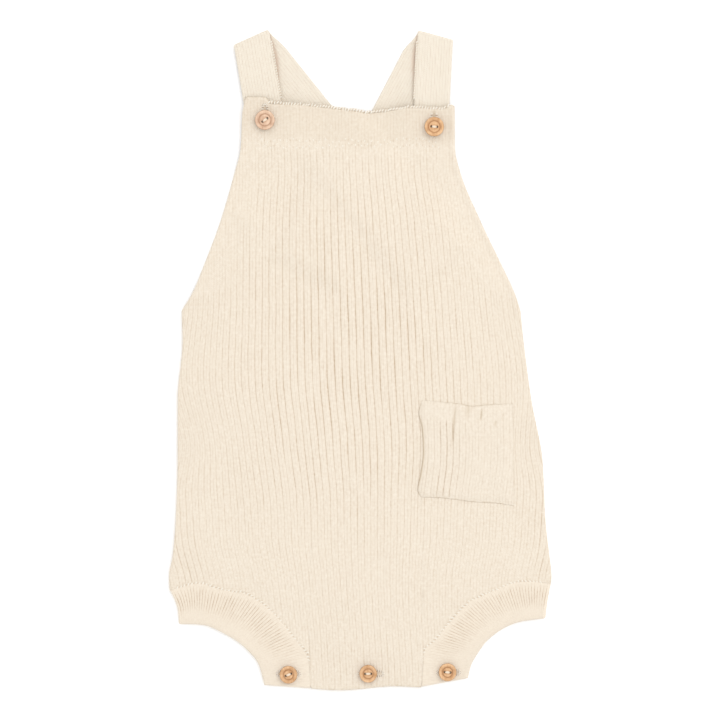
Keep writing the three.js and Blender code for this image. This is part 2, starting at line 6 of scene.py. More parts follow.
import bpy
import numpy as np
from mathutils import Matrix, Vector


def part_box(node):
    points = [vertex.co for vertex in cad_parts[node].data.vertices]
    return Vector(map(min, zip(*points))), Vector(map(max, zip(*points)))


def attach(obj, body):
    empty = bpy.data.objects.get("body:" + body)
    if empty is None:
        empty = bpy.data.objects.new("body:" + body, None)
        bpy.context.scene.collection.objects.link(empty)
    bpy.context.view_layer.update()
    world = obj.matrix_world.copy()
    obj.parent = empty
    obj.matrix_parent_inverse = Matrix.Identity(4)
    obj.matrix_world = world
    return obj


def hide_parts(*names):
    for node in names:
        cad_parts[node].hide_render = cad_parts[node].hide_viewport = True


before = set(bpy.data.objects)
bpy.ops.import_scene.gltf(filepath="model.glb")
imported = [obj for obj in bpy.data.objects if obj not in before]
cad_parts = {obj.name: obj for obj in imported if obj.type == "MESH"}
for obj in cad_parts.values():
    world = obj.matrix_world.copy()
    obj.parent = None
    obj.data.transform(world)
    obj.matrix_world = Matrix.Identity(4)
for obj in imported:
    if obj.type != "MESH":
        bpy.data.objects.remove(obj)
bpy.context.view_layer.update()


# The back. One piece of cotton ribbing, knitted to shape, with its right side on the table. It carries
# the whole garment: the straps are sewn inside its top edge, and the front and leg bands join it.
MM = 0.001
CLOTH = 1.8  # thickness of the knitted wall
LAYER = 2.1  # height that each piece lying underneath adds
EDGE_SHARE = 0.45  # how thick a cut edge is, as a share of the wall
SEAM_SHARE = 0.97  # the same where another piece is linked on
EDGE_WIDTH = 1.2  # how far in from an edge the wall has its full thickness
RIB_COUNT = 48
RIB_HEIGHT = 0.16
WALES_PER_RIB = 2
COURSE = 1.25  # height of one stitch
UNDERARM = 30
ABOVE_PANELS = 170  # a height above both panels
BACK_TOP = {"y": 74, "left": -56, "right": 52}
BACK_ROWS = 89
BACK_GUTTER_WIDTH = 0.12  # in ribs
BACK_GUTTER_DEPTH = 0.5

# The sides between which the ribs run, and how far the ribs lean towards +X in the middle.
BODY = np.array([  # y, left, right, lean
    (-138.0, -114.3, 114.3, 0.052),
    (-129.0, -114.6, 114.9, 0.052),
    (-117.6, -112.5, 113.7, 0.052),
    (-96.0, -110.7, 111.3, 0.052),
    (-60.0, -109.5, 109.5, 0.03),
    (-24.0, -109.5, 102.9, 0.02),
    (12.0, -106.5, 98.1, 0.01),
    (UNDERARM, -107.0, 96.3, 0.01),
    (66.0, -104.5, 93.5, 0),
    (117.0, -103.5, 89.1, 0),
    (160.0, -102.0, 87.6, 0),
]).T

# The lower edge of both panels: a leg seam, the crotch and the other leg seam.
CROTCH_CORNER = -190
LOWER_EDGE = np.array([  # x, y
    (-114.3, -138.0),
    (-97.5, -133.4),
    (-80.1, -138.0),
    (-71.7, -138.8),
    (-59.7, -144.6),
    (-47.7, -156.0),
    (-35.7, -171.0),
    (-30.9, -177.0),
    (-29.7, -196.8),
    (-11.7, -198.0),
    (21.3, -195.6),
    (36.9, -196.2),
    (38.5, -173.4),
    (44.0, -168.6),
    (54.3, -156.0),
    (66.3, -144.0),
    (81.3, -137.6),
    (96.3, -132.4),
    (114.3, -133.8),
]).T


def through(at, to):
    """A smooth curve through a table's rows, which never overshoots them."""
    slopes = np.diff(to) / np.diff(at)
    before = np.concatenate([slopes[:1], slopes])
    after = np.concatenate([slopes, slopes[-1:]])
    total = np.where(before * after > 0, before + after, 1)
    tangents = np.where(before * after > 0, 2 * before * after / total, 0)

    def curve(x):
        i = np.clip(np.searchsorted(at, x, side="right") - 1, 0, len(at) - 2)
        width = at[i + 1] - at[i]
        t = np.clip((x - at[i]) / width, 0, 1)
        bend = (1 - t) * (tangents[i] - slopes[i]) - t * (tangents[i + 1] - slopes[i])
        return to[i] + (to[i + 1] - to[i]) * t + t * (1 - t) * width * bend

    return curve


def smoothstep(x, start, end):
    t = np.clip((x - start) / (end - start), 0, 1)
    return t * t * (3 - 2 * t)


def bell(distance, width):
    """1 at a distance of 0, falling smoothly to almost 0 at twice the width."""
    return np.exp(-((distance / width) ** 2))


def uneven(seed, size, *places):
    """Smooth hand-made unevenness between about -1 and 1, in waves of about the given size."""
    draw = np.random.default_rng(seed)
    total = 0
    for _ in range(6):
        direction = draw.normal(size=len(places))
        direction /= np.linalg.norm(direction)
        wave = size * draw.uniform(0.6, 1.5)
        along = sum(d * place for d, place in zip(direction, places))
        total = total + np.sin(2 * np.pi * along / wave + draw.uniform(0, 2 * np.pi))
    return total / 3


def uneven_lines(seed, count, size, line, y):
    """The same along each of a number of lines, such as the gutters between ribs."""
    draw = np.random.default_rng(seed)
    total = 0
    for _ in range(4):
        phases = draw.uniform(0, 2 * np.pi, count)
        waves = size * draw.uniform(0.5, 1.8, count)
        total = total + np.sin(2 * np.pi * y / waves[line] + phases[line])
    return total / 2.4


body_left = through(BODY[0], BODY[1])
body_right = through(BODY[0], BODY[2])
body_lean = through(BODY[0], BODY[3])
lower_edge = through(*LOWER_EDGE)


def rib_x(share, y):
    """X at height y of the rib line that starts at share -1 (left side) to 1 (right side)."""
    middle = (body_left(y) + body_right(y)) / 2
    half = (body_right(y) - body_left(y)) / 2
    return middle + half * (share + body_lean(y) * (1 - share * share))


def rib_bottom(share):
    return lower_edge(rib_x(share, BODY[0][0]))


def linked_share(bottom):
    """How thick a panel's lower edge is: nearly full along a leg seam, thin at the crotch."""
    return np.where(bottom > CROTCH_CORNER, SEAM_SHARE, EDGE_SHARE)


def rib_top(share, inside):
    """The height at which a rib line leaves a panel, at an armhole or at its top edge."""
    low = np.full(share.shape, float(UNDERARM))
    high = np.full(share.shape, float(ABOVE_PANELS))
    for _ in range(24):
        middle = (low + high) / 2
        within = inside(rib_x(share, middle), middle)
        low = np.where(within, middle, low)
        high = np.where(within, high, middle)
    return low


def back_armhole(side, y):
    remaining = np.clip((BACK_TOP["y"] - y) / (BACK_TOP["y"] - UNDERARM), 0, 1)
    underarm = float((body_left if side == "left" else body_right)(UNDERARM))
    return BACK_TOP[side] + (underarm - BACK_TOP[side]) * remaining**2


def inside_back(x, y):
    return (y <= BACK_TOP["y"]) & (x >= back_armhole("left", y)) & (x <= back_armhole("right", y))


def rib_columns(ribs, shares):
    """Where the mesh's columns lie, in ribs from the left, with the same shares of every rib."""
    return np.append(np.add.outer(np.arange(ribs), shares).ravel(), ribs)


def gutter_of(column):
    """The nearest gutter between two ribs and how far off it is, in ribs."""
    gutter = np.round(column).astype(int)
    return gutter, np.abs(column - gutter)


def rounded_edge(distance, at_edge=EDGE_SHARE):
    """The share of the wall's thickness near a rounded edge."""
    remaining = 1 - np.clip(distance / EDGE_WIDTH, 0, 1)
    return at_edge + (1 - at_edge) * np.sqrt(1 - remaining**2)


def even_rows(bottom, top, rows, edge=(0, 0.25, 0.6, 1.2, 2)):
    """Heights along each column, close together near both ends where the edges are rounded."""
    edge = np.array(edge)
    shares = np.linspace(0, 1, rows - 2 * (len(edge) - 1))[:, None]
    middle = (bottom + edge[-1]) * (1 - shares) + (top - edge[-1]) * shares
    lower = [bottom + width for width in edge[:-1]]
    upper = [top - width for width in edge[:-1][::-1]]
    return np.concatenate([lower, middle, upper]).T


def quads(grid):
    corners = [grid[:-1, :-1], grid[1:, :-1], grid[1:, 1:], grid[:-1, 1:]]
    return np.stack(corners, axis=-1).reshape(-1, 4).tolist()


def stitch_rim(outer, inner, step):
    """Faces that join a fine edge of the outer face to a coarse edge of the inner face."""
    faces = []
    for k in range(len(inner) - 1):
        start = k * step
        middle = start + math.ceil(step / 2)
        for m in range(start, start + step):
            faces.append((outer[m + 1], outer[m], inner[k] if m < middle else inner[k + 1]))
        faces.append((outer[middle], inner[k], inner[k + 1]))
    return faces


def knit_wall(name, outer, inner, stitches, looks, skip):
    """A closed wall of knitted cloth from two grids of points, its outer and inner faces. The inner
    face keeps one point in skip each way. stitches holds each point's place in wales and courses,
    and looks holds the values that the yarn's material reads: gutter depth and shade."""
    columns, rows = outer.shape[:2]
    numbers = np.arange(columns * rows).reshape(columns, rows)
    few = inner[::skip, ::skip]
    inner_numbers = columns * rows + np.arange(few.shape[0] * few.shape[1]).reshape(few.shape[:2])
    faces = quads(numbers) + quads(inner_numbers[::-1])
    for fine, coarse in (
        (numbers[:, 0], inner_numbers[:, 0]),
        (numbers[-1], inner_numbers[-1]),
        (numbers[::-1, -1], inner_numbers[::-1, -1]),
        (numbers[0, ::-1], inner_numbers[0, ::-1]),
    ):
        faces += stitch_rim(fine.tolist(), coarse.tolist(), skip)
    points = np.concatenate([outer.reshape(-1, 3), few.reshape(-1, 3)]) * MM
    mesh = bpy.data.meshes.new(name)
    mesh.from_pydata(points.tolist(), [], faces)
    places = np.concatenate([stitches.reshape(-1, 2), stitches[::skip, ::skip].reshape(-1, 2)])
    corner_points = np.empty(len(mesh.loops), dtype=np.int32)
    mesh.loops.foreach_get("vertex_index", corner_points)
    mesh.uv_layers.new(name="stitches").data.foreach_set("uv", places[corner_points].ravel())
    for look, values in looks.items():
        values = np.concatenate([values.ravel(), values[::skip, ::skip].ravel()])
        mesh.attributes.new(look, "FLOAT", "POINT").data.foreach_set("value", values)
    mesh.shade_smooth()
    piece = bpy.data.objects.new(name, mesh)
    bpy.context.collection.objects.link(piece)
    return piece


class Shade:
    """A socket in a material. Sums on it add the Math nodes they need."""

    def __init__(self, tree, socket=None):
        self.tree = tree
        self.socket = socket

    def node(self, kind, settings=None, values=None, output=0):
        made = self.tree.nodes.new(kind)
        for name, setting in (settings or {}).items():
            setattr(made, name, setting)
        for name, value in (values or {}).items():
            if isinstance(value, Shade):
                self.tree.links.new(value.socket, made.inputs[name])
            else:
                made.inputs[name].default_value = value
        return Shade(self.tree, made.outputs[output])

    def math(self, operation, *values, clamp=False):
        settings = {"operation": operation, "use_clamp": clamp}
        return self.node("ShaderNodeMath", settings, dict(enumerate(values)))

    def mix(self, factor, start, end):
        """A colour between two colours."""
        values = {0: factor, 6: start, 7: end}
        return self.node("ShaderNodeMix", {"data_type": "RGBA"}, values, output=2)

    def attribute(self, name):
        """A value that a piece's mesh carries for its material."""
        return self.node("ShaderNodeAttribute", {"attribute_name": name}, output="Fac")

    def stretched(self, place, *scale):
        """A place stretched or squeezed along each of its directions."""
        return self.node("ShaderNodeMapping", {}, {"Vector": place, "Scale": scale})

    def covers(self, surface, tint, roughness, bump, specular):
        """Gives a surface its colour, roughness, relief (strength, depth, height) and shine."""
        values = dict(zip(("Strength", "Distance", "Height"), bump))
        relief = self.node("ShaderNodeBump", {}, values)
        self.tree.links.new(tint.socket, surface.inputs["Base Color"])
        self.tree.links.new(roughness.socket, surface.inputs["Roughness"])
        self.tree.links.new(relief.socket, surface.inputs["Normal"])
        surface.inputs["Specular IOR Level"].default_value = specular

    def noise(self, place, scale, detail=2.0, rough=0.5):
        values = {"Vector": place, "Scale": scale, "Detail": detail, "Roughness": rough}
        return self.node("ShaderNodeTexNoise", {}, values)

    def __add__(self, other):
        return self.math("ADD", self, other)

    def __sub__(self, other):
        return self.math("SUBTRACT", self, other)

    def __rsub__(self, other):
        return self.math("SUBTRACT", other, self)

    def __mul__(self, other):
        return self.math("MULTIPLY", self, other)

    def __pow__(self, other):
        return self.math("POWER", self, other)

    __radd__ = __add__
    __rmul__ = __mul__


def from_screen(red, green, blue):
    """A colour given in the 0 to 255 values of a screen, as linear light."""
    shares = [value / 255 for value in (red, green, blue)]
    return tuple(v / 12.92 if v <= 0.04045 else ((v + 0.055) / 1.055) ** 2.4 for v in shares) + (1,)


def new_material(name):
    material = bpy.data.materials.new(name)
    material.use_nodes = True
    tree = material.node_tree
    tree.nodes.clear()
    surface = tree.nodes.new("ShaderNodeBsdfPrincipled")
    output = tree.nodes.new("ShaderNodeOutputMaterial")
    tree.links.new(surface.outputs[0], output.inputs["Surface"])
    return material, Shade(tree), surface


LIGHT_SHARE = 1.35  # how bright the studio's light makes a surface, against its own colour


def lit_colour(colour):
    """The colour that a surface needs to look like this in the studio's light."""
    return tuple(min(value / LIGHT_SHARE, 1) for value in from_screen(*colour)[:3]) + (1,)


def knitted_cotton(
    name, colour, shadow, contrast=0.52, sharp=7.0, wale_shade=0.34, gutter_shade=0.58, loose=0.85,
    veed=0.4, base=0.15, shaded=(214, 194, 166),
):
    """Plain cotton yarn in plain knitting, from the colour of its lightest loops to that of its shadows.
    Each stitch is a V of two strands that lean together. A gutter runs along every second line between
    wales, as deep as the mesh's gutter value says, and is painted dark as shade. The shade value blends
    to the shaded colour, which is painted shade."""
    material, shade, surface = new_material(name)
    place = shade.node("ShaderNodeTexCoord", output="Object")
    stitches = shade.node("ShaderNodeUVMap", {"uv_map": "stitches"})
    split = shade.node("ShaderNodeSeparateXYZ", {}, {0: stitches})
    wales = Shade(shade.tree, split.socket.node.outputs["X"])
    courses = Shade(shade.tree, split.socket.node.outputs["Y"])
    wander = shade.noise(place, 260, 2)
    from_middle = wales.math("FRACT", wales) - 0.5
    side = from_middle.math("ABSOLUTE", from_middle) * 2
    lifted = courses - side * 0.8 + (wander - 0.5) * 0.5
    strand = shade.math("SINE", lifted.math("FRACT", lifted) * math.pi)
    arch = shade.math("SINE", side * math.pi)
    yarn = (strand * 0.65 + 0.35) * (arch * 0.55 + 0.45)
    # Along a wale the stitches pull tight and slacken, so the lines between wales come and go.
    streaks = shade.noise(shade.stretched(stitches, 1.3, 0.2, 1.0), 1.0, 2, 0.6)
    loops = shade.noise(shade.stretched(stitches, 1.25, 0.8, 1.0), 1.0, 1, 0.5)
    fibres = shade.noise(place, 2600, 3, 0.6)
    patches = shade.noise(place, 38, 3, 0.55)
    between = side**4 * (streaks * 2.4 - 0.5)
    # The gutter between two ribs is a thin line with slightly ragged sides, sunk and painted in shade.
    rib = wales * 0.5 + 0.5
    off_line = rib.math("FRACT", rib) - 0.5
    off_line = off_line.math("ABSOLUTE", off_line) * 2 + (wander - 0.5) * 0.1
    line = shade.math("MAXIMUM", 1.0 - off_line, 0.0)
    ragged = shade.noise(shade.stretched(stitches, 0.4, 1.1, 1.0), 1.0, 1, 0.5)
    gutter = line**sharp * shade.attribute("gutter") * (ragged * 1.6 + 0.2)
    tone = (1 - yarn) * veed + between * wale_shade + (patches - 0.5) * 0.16 + (fibres - 0.5) * 0.34
    tone = tone + ((streaks - 0.5) * 0.5 + (loops - 0.5) * 1.0) * loose - 0.1 * veed
    tone = tone * contrast + gutter * gutter_shade + base
    tint = shade.mix(tone.math("MAXIMUM", tone, 0.0), lit_colour(colour), lit_colour(shadow))
    # Painted shade: the colour blends to the shaded colour as far as the mesh's shade value says.
    painted_shade_amount = shade.attribute("shade")
    tint = shade.mix(painted_shade_amount.math("MINIMUM", painted_shade_amount, 1.0), tint, lit_colour(shaded))
    height = yarn + fibres * 0.35 + loops * 0.5 - between * 0.6 - gutter * 1.4
    shade.covers(surface, tint, 0.86 + fibres * 0.12, (0.8 * contrast, 0.3 * MM, height), specular=0.2)
    surface.inputs["Sheen Weight"].default_value = 0.05
    surface.inputs["Sheen Roughness"].default_value = 0.5
    return material


body_cotton = knitted_cotton("body_cotton", (255, 245, 229), (210, 184, 153))

back_column = rib_columns(RIB_COUNT, [0, 0.12, 0.3, 0.5, 0.7, 0.88])
back_share = 2 * back_column / RIB_COUNT - 1
back_y = even_rows(rib_bottom(back_share), rib_top(back_share, inside_back), BACK_ROWS)
back_x = rib_x(back_share[:, None], back_y)
end_distance = np.minimum(back_y - back_y[:, :1], back_y[:, -1:] - back_y)
edge_distance = np.minimum(end_distance, np.minimum(back_x - back_x[:1], back_x[-1:] - back_x))
gutter_number, from_gutter = gutter_of(back_column)
back_gutter = 0.5 * smoothstep(end_distance, 4, 12)
dip = bell(from_gutter, BACK_GUTTER_WIDTH)[:, None] * back_gutter
back_lift = CLOTH * (1 - rounded_edge(edge_distance)) + BACK_GUTTER_DEPTH * dip
back_outer = np.stack([back_x, back_y, np.full_like(back_x, CLOTH)], axis=-1)
back_inner = np.stack([back_x, back_y, back_lift], axis=-1)
back_wales = np.broadcast_to(back_column[:, None] * WALES_PER_RIB, back_y.shape)
back_stitches = np.stack([back_wales, back_y / COURSE], -1)
# Its ribbed right side faces down, so that face is the fine one and its columns run the other way.
back_looks = {"gutter": back_gutter[::-1], "shade": 0 * back_gutter}
back = knit_wall("knit_back", back_inner[::-1], back_outer[::-1], back_stitches[::-1], back_looks, 4)
back.data.materials.append(body_cotton)
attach(back, "root")
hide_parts("back_panel")


# The straps. Two strips of plain knitting, sewn inside the back's top edge. They cross, fold over at
# the shoulders and run down behind the bib, where the buttons sewn on them come through.
STRAP_UNDER_BIB = {"left": 60, "right": 64.5}  # from the fold to the front end
STRAP_SEWN = 12  # overlap of each strap on the back's top edge
STRAP_SETTLES = 14  # over this length past the fold a back run moves aside
STRAPS = {
    "left": {"fold": (-64.9, 192.3), "front": 9.6, "back": 38.6, "width": 22.4, "aside": 1.7},
    "right": {"fold": (45.1, 193.5), "front": -3, "back": -27.5, "width": 21.4, "aside": -2.8},
}
FOLD_RADIUS = LAYER / 2  # of the wall's middle, where cloth folds flat on itself
FOLD_REACH = FOLD_RADIUS + CLOTH / 2  # from a fold's axis to its outermost face
DRAPE_MARGIN = 4  # cloth keeps its height this far past the edge of what it lies on
DRAPE_END = 26  # and has come down this far past it
STRAP_WALES = 13
FOLD_INSIDE = 0.15  # radius of the inner face in a fold
SELVEDGE = 0.16  # how far a strap's edge stitches stand up
BACK_RUN_ROWS = 84
FOLD_ROWS = 12
FRONT_RUN_ROWS = 44


def near(distance):
    """1 where a piece lies underneath and falling to 0 away from it."""
    return 1 - smoothstep(distance, DRAPE_MARGIN, DRAPE_END)


def distance_from_back(x, y):
    underarm = float(body_left(UNDERARM))
    reach = BACK_TOP["y"] - UNDERARM
    slope = 2 * (BACK_TOP["left"] - underarm) * (BACK_TOP["y"] - y) / reach**2
    sideways = np.maximum(back_armhole("left", y) - x, x - back_armhole("right", y))
    outside = np.maximum(y - BACK_TOP["y"], sideways / np.hypot(1, slope))
    return np.where(y < UNDERARM, 0, np.maximum(outside, 0))


def run_of(side, part):
    """A strap's run: its start, its directions down and across, and its length."""
    fold_x, fold_y = STRAPS[side]["fold"]
    turn = math.radians(STRAPS[side][part])
    drop = fold_y - (BACK_TOP["y"] - STRAP_SEWN)
    length = STRAP_UNDER_BIB[side] if part == "front" else drop / math.cos(turn)
    down = (math.sin(turn), -math.cos(turn))
    across = (math.cos(turn), math.sin(turn))
    run = {"start": (fold_x, fold_y), "down": down, "across": across, "length": length}
    run["width"] = STRAPS[side]["width"]
    run["aside"] = STRAPS[side]["aside"] if part == "back" else 0
    return run


RUNS = {side: {part: run_of(side, part) for part in ("front", "back")} for side in STRAPS}


def on_run(run, x, y):
    """How far down a run and across it from its middle a point is."""
    east = x - run["start"][0]
    north = y - run["start"][1]
    down = east * run["down"][0] + north * run["down"][1]
    across = east * run["across"][0] + north * run["across"][1] - run["aside"]
    return down, across


def distance_from_run(run, x, y):
    down, across = on_run(run, x, y)
    return np.maximum(np.abs(across) - run["width"] / 2, down - run["length"])


def edged_shares(edge, inner, count):
    """Shares of a piece's width, close together near both of its edges, where it is rounded."""
    edge = np.array(edge)
    return np.concatenate([edge, np.linspace(inner, 1 - inner, count), 1 - edge[::-1]])


def back_run_height(side, x, y):
    """How high a strap's back run lies: on the back, and the left one also over the right one."""
    on_back = LAYER * near(distance_from_back(x, y))
    if side == "right":
        return on_back
    over = near(distance_from_run(RUNS["right"]["back"], x, y)) * (back_run_height("right", x, y) + LAYER)
    return np.maximum(on_back, over)


def front_run_height(side, x, y):
    """How high a strap's front run lies: on its own back run, and lower towards its end."""
    run = RUNS[side]["front"]
    down = on_run(run, x, y)[0]
    return LAYER * (1 - smoothstep(down, run["length"] * 0.62, run["length"]))


def shade_beside_front_run(side, x, y):
    """How much of the back run lies in the front run's shade: a strip beside it, widest near the fold."""
    run = RUNS[side]["front"]
    inner_side = 1 if side == "left" else -1
    down, beside = on_run(run, x, y)
    gap = np.maximum(beside * inner_side - run["width"] / 2 + 0.4, 0)
    reach = 0.6 + 2.6 * bell(down - 14, 11)
    soft = 0.55 * (1 - smoothstep(gap, 0.6 * reach, 1.3 * reach))
    line = 0.2 * bell(gap, 0.5)
    return (soft + line) * (1 - smoothstep(down, 24, 44))


strap_cotton = knitted_cotton(
    "strap_cotton", (255, 247, 231), (212, 184, 158), 0.61, wale_shade=0.44, loose=0.5, veed=0.8,
    base=0.03, shaded=(226, 196, 174),
)

for seed, side in enumerate(STRAPS):
    fold_x, fold_y = STRAPS[side]["fold"]
    width = STRAPS[side]["width"]
    front_turn = math.radians(STRAPS[side]["front"])
    back_turn = math.radians(STRAPS[side]["back"])
    fold_turn = (front_turn + back_turn) / 2
    skew = math.tan((back_turn - front_turn) / 2)
    across_shares = edged_shares([0, 0.012, 0.035, 0.07], 0.12, 21)
    across = width * (across_shares - 0.5)
    outer_rows = []
    inner_rows = []
    distances = []
    shades = []
    travelled = 0
    edge = rounded_edge(width / 2 - np.abs(across))
    selvedge = SELVEDGE * bell(width / 2 - np.abs(across) - 1.5, 0.9)
    for part, count in (("back", BACK_RUN_ROWS), ("fold", FOLD_ROWS), ("front", FRONT_RUN_ROWS)):
        for j in range(count):
            if part == "fold":
                angle = math.pi * (j / FOLD_ROWS - 0.5)
                mitred = across / math.cos((back_turn - front_turn) / 2)
                place_x = math.cos(fold_turn) * mitred
                place_y = math.sin(fold_turn) * mitred
                for rows, wall in ((outer_rows, CLOTH * edge), (inner_rows, 0 * edge)):
                    radius = FOLD_INSIDE + wall
                    x = fold_x + place_x - math.sin(fold_turn) * radius * math.cos(angle)
                    y = fold_y + place_y + math.cos(fold_turn) * radius * math.cos(angle)
                    rows.append(np.stack([x, y, FOLD_REACH + radius * math.sin(angle)], -1))
                travelled += math.pi * FOLD_RADIUS / FOLD_ROWS
                shades.append(0 * across)
            else:
                run = RUNS[side][part]
                share = 1 - j / count if part == "back" else j / (count - 1)
                slant = (-skew if part == "front" else skew) * (1 - smoothstep(share, 0.1, 0.9))
                along = share * run["length"] + across * slant
                sideways = across + run["aside"] * smoothstep(share * run["length"], 0, STRAP_SETTLES)
                x = run["start"][0] + along * run["down"][0] + sideways * run["across"][0]
                y = run["start"][1] + along * run["down"][1] + sideways * run["across"][1]
                end = rounded_edge(min(share, 1 - share) * run["length"] if share > 0.5 else 9)
                wall = CLOTH * np.minimum(edge, end)
                wave = 0.12 * uneven(31 + seed, 26, x, y) + selvedge
                if part == "back":
                    shades.append(shade_beside_front_run(side, x, y))
                    under = back_run_height(side, x, y)
                    outer_z = under + CLOTH - wall
                    inner_z = under + CLOTH + 0.5 * wave
                else:
                    shades.append(0 * across)
                    under = front_run_height(side, x, y)
                    outer_z = under + wall + 0.5 * wave
                    inner_z = under
                outer_rows.append(np.stack([x, y, outer_z], -1))
                inner_rows.append(np.stack([x, y, inner_z], -1))
                travelled += run["length"] / count
            distances.append(travelled)
    outer = np.stack(outer_rows, axis=1)
    inner = np.stack(inner_rows, axis=1)
    wales = np.broadcast_to((across_shares * STRAP_WALES)[:, None], outer.shape[:2])
    courses = np.broadcast_to(np.array(distances)[None, :] / COURSE, outer.shape[:2])
    shades = np.stack(shades, axis=1)
    looks = {"gutter": 0 * shades, "shade": shades[::-1]}
    # Seen from outside the cloth, the columns run from right to left.
    strap = knit_wall(
        f"knit_strap_{side}", outer[::-1], inner[::-1], np.stack([wales, courses], -1)[::-1], looks, 1
    )
    strap.data.materials.append(strap_cotton)
    length = travelled * MM
    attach(strap, "root")
    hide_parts(f"strap_{side}")


# The front. One piece of cotton ribbing with a bib. Its top edge, its armhole borders and a band along
# the top are plain knitting. It lies on the back and drapes over the straps' ends inside.
BIB_BAND = 23  # plain knitting along the bib's top edge
ARMHOLE_BORDER = 12  # plain knitting along each armhole
RIB_FADE = 7  # over this length a rib sinks into plain knitting
LOOSE = 0.35  # extra height of the front where it lies over a strap
GUTTER_WIDTH = 0.14  # in ribs
GUTTER_DEPTH = 0.14
LEAST_WALL = 0.7
RIM_ROLL = 0.3
FRONT_ROWS = 217
CAST_OFF_PITCH = 1.7
BUTTONHOLES = {  # middle, half width and half height
    "strap_left": (-57.0, 146.2, 1.5, 7.6),
    "strap_right": (44.5, 142.7, 1.6, 8.4),
    "crotch_left": (-43.0, -187.9, 6.9, 1.7),
    "crotch_middle": (6.8, -187.9, 7.2, 1.8),
    "crotch_right": (53.2, -187.2, 6.7, 1.7),
}
ARMHOLE = np.array([  # y, left, right
    (UNDERARM, -107.0, 96.3),
    (40.8, -100.5, 92.7),
    (55.2, -94.5, 86.1),
    (84.0, -83.7, 72.3),
    (112.8, -75.3, 60.3),
    (127.2, -71.7, 57.0),
    (148.8, -70.5, 56.8),
    (160.0, -67.8, 56.4),
]).T
BIB_TOP = np.array([  # x, y
    (-70.0, 158.2),
    (-58.5, 158.0),
    (-53.5, 154.8),
    (-35.7, 153.6),
    (-5.7, 150.6),
    (4.5, 149.0),
    (32.1, 152.0),
    (49.5, 151.2),
    (54.9, 153.4),
    (58.0, 151.2),
]).T
POCKET_AREA = {"left": 37, "right": 92, "bottom": -84, "top": -25}
armhole_left = through(ARMHOLE[0], ARMHOLE[1])
armhole_right = through(ARMHOLE[0], ARMHOLE[2])
bib_top = through(*BIB_TOP)


def softer(first, second, width=0.8):
    """The higher of two heights, with a soft change from one to the other."""
    gap = np.maximum(width - np.abs(first - second), 0) / width
    return np.maximum(first, second) + width * gap**2 / 4


def front_height(x, y):
    """How high the front's underside lies on whatever is beneath it."""
    height = LAYER * near(distance_from_back(x, y))
    for side in STRAPS:
        back_run = back_run_height(side, x, y) + LAYER + LOOSE
        front_run = front_run_height(side, x, y) + LAYER + LOOSE
        height = softer(height, near(distance_from_run(RUNS[side]["back"], x, y)) * back_run)
        height = softer(height, near(distance_from_run(RUNS[side]["front"], x, y)) * front_run)
    return height


def front_swell(x, y):
    """How far the front's upper face rises and sinks where the cloth doesn't lie quite flat."""
    return 0.25 * uneven(11, 70, x, y) + 0.1 * uneven(12, 23, x, y)


def under_pocket(x, y):
    """1 where the pocket presses the ribs flat, and 0 outside it."""
    from_sides = np.minimum(x - POCKET_AREA["left"], POCKET_AREA["right"] - x)
    from_ends = np.minimum(y - POCKET_AREA["bottom"], POCKET_AREA["top"] - y)
    return smoothstep(np.minimum(from_sides, from_ends), 0, 2)


def rib_strength(x, y):
    """How much of their height the ribs have: none in the plain bands along the edges."""
    from_top = bib_top(x) - BIB_BAND - y
    from_sides = np.minimum(x - armhole_left(y), armhole_right(y) - x) - ARMHOLE_BORDER
    from_armhole = from_sides + 3 * np.maximum(0, UNDERARM + ARMHOLE_BORDER - y)
    from_seam = y - lower_edge(x)
    return np.clip(np.minimum(np.minimum(from_top, from_armhole) / RIB_FADE, from_seam / 2.5), 0, 1)


def buttonhole_shade(x, y):
    """1 in the slits of the worked buttonholes and falling to 0 outside their stitches."""
    shaded = 0
    for middle_x, middle_y, half_width, half_height in BUTTONHOLES.values():
        east = np.abs(x - middle_x) / (half_width - 0.7)
        north = np.abs(y - middle_y) / (half_height - 0.7)
        shaded = shaded + 0.55 * np.exp(-((east**4 + north**4) ** 2))
    return shaded


def mound(x, y, middle_x, middle_y, wide, high):
    return bell(x - middle_x, wide) * bell(y - middle_y, high)


# The lines of the front's ribs, which are numbered from the middle one. They draw together towards the
# crotch, so at the sides more of them come round from the back there.
RIB_LINES = np.array([  # y, x of the middle line, spacing of the ribs, how much closer at the sides
    (-190.0, 6.5, 3.6, 0),
    (-168.0, 5.3, 3.6, 0),
    (-132.0, 3.0, 3.72, 0),
    (-108.0, 2.5, 3.96, 0.03),
    (-84.0, 2.4, 4.05, 0.05),
    (-48.0, 1.3, 4.44, 0.33),
    (-12.0, -1.4, 4.53, 0.26),
    (36.0, -2.9, 4.44, 0.35),
    (84.0, -5.0, 4.2, 0.25),
    (117.0, -6.4, 3.88, 0),
    (160.0, -7.5, 3.88, 0),
]).T
RIBS_ASIDE = 34  # more ribs than there are on either side of the middle
SIDE_RIB = 24  # the number of the rib line at each side
# Where the ribs stand out more or less: how much, the middle of the patch, its width and its height.
RIB_PATCHES = [
    (0.72, -6, 6, 60, 92),
    (-0.12, 62, 58, 26, 26),
    (0.5, -104, -118, 8, 22),
    (0.4, -100, -126, 5, 9),
    (0.35, 107, -85, 7, 50),
    (0.4, 112, -123, 5, 9),
    (0.24, 5, -180, 34, 24),
]
middle_line = through(RIB_LINES[0], RIB_LINES[1])
rib_spacing = through(RIB_LINES[0], RIB_LINES[2])
side_closing = through(RIB_LINES[0], RIB_LINES[3])


def rib_number(x, y):
    """The number of the rib line through a point, in whole ribs and parts of one."""
    evenly = (x - middle_line(y)) / rib_spacing(y)
    number = evenly
    for _ in range(12):
        number = evenly + side_closing(y) * number**3 / (3 * SIDE_RIB**2)
    return number


def left_side(y):
    return np.where(y < UNDERARM, body_left(y), armhole_left(y))


def right_side(y):
    return np.where(y < UNDERARM, body_right(y), armhole_right(y))


def across_front(share, y):
    """X at height y of the mesh's column that lies at a share of the front's width."""
    return left_side(y) * (1 - share) + right_side(y) * share


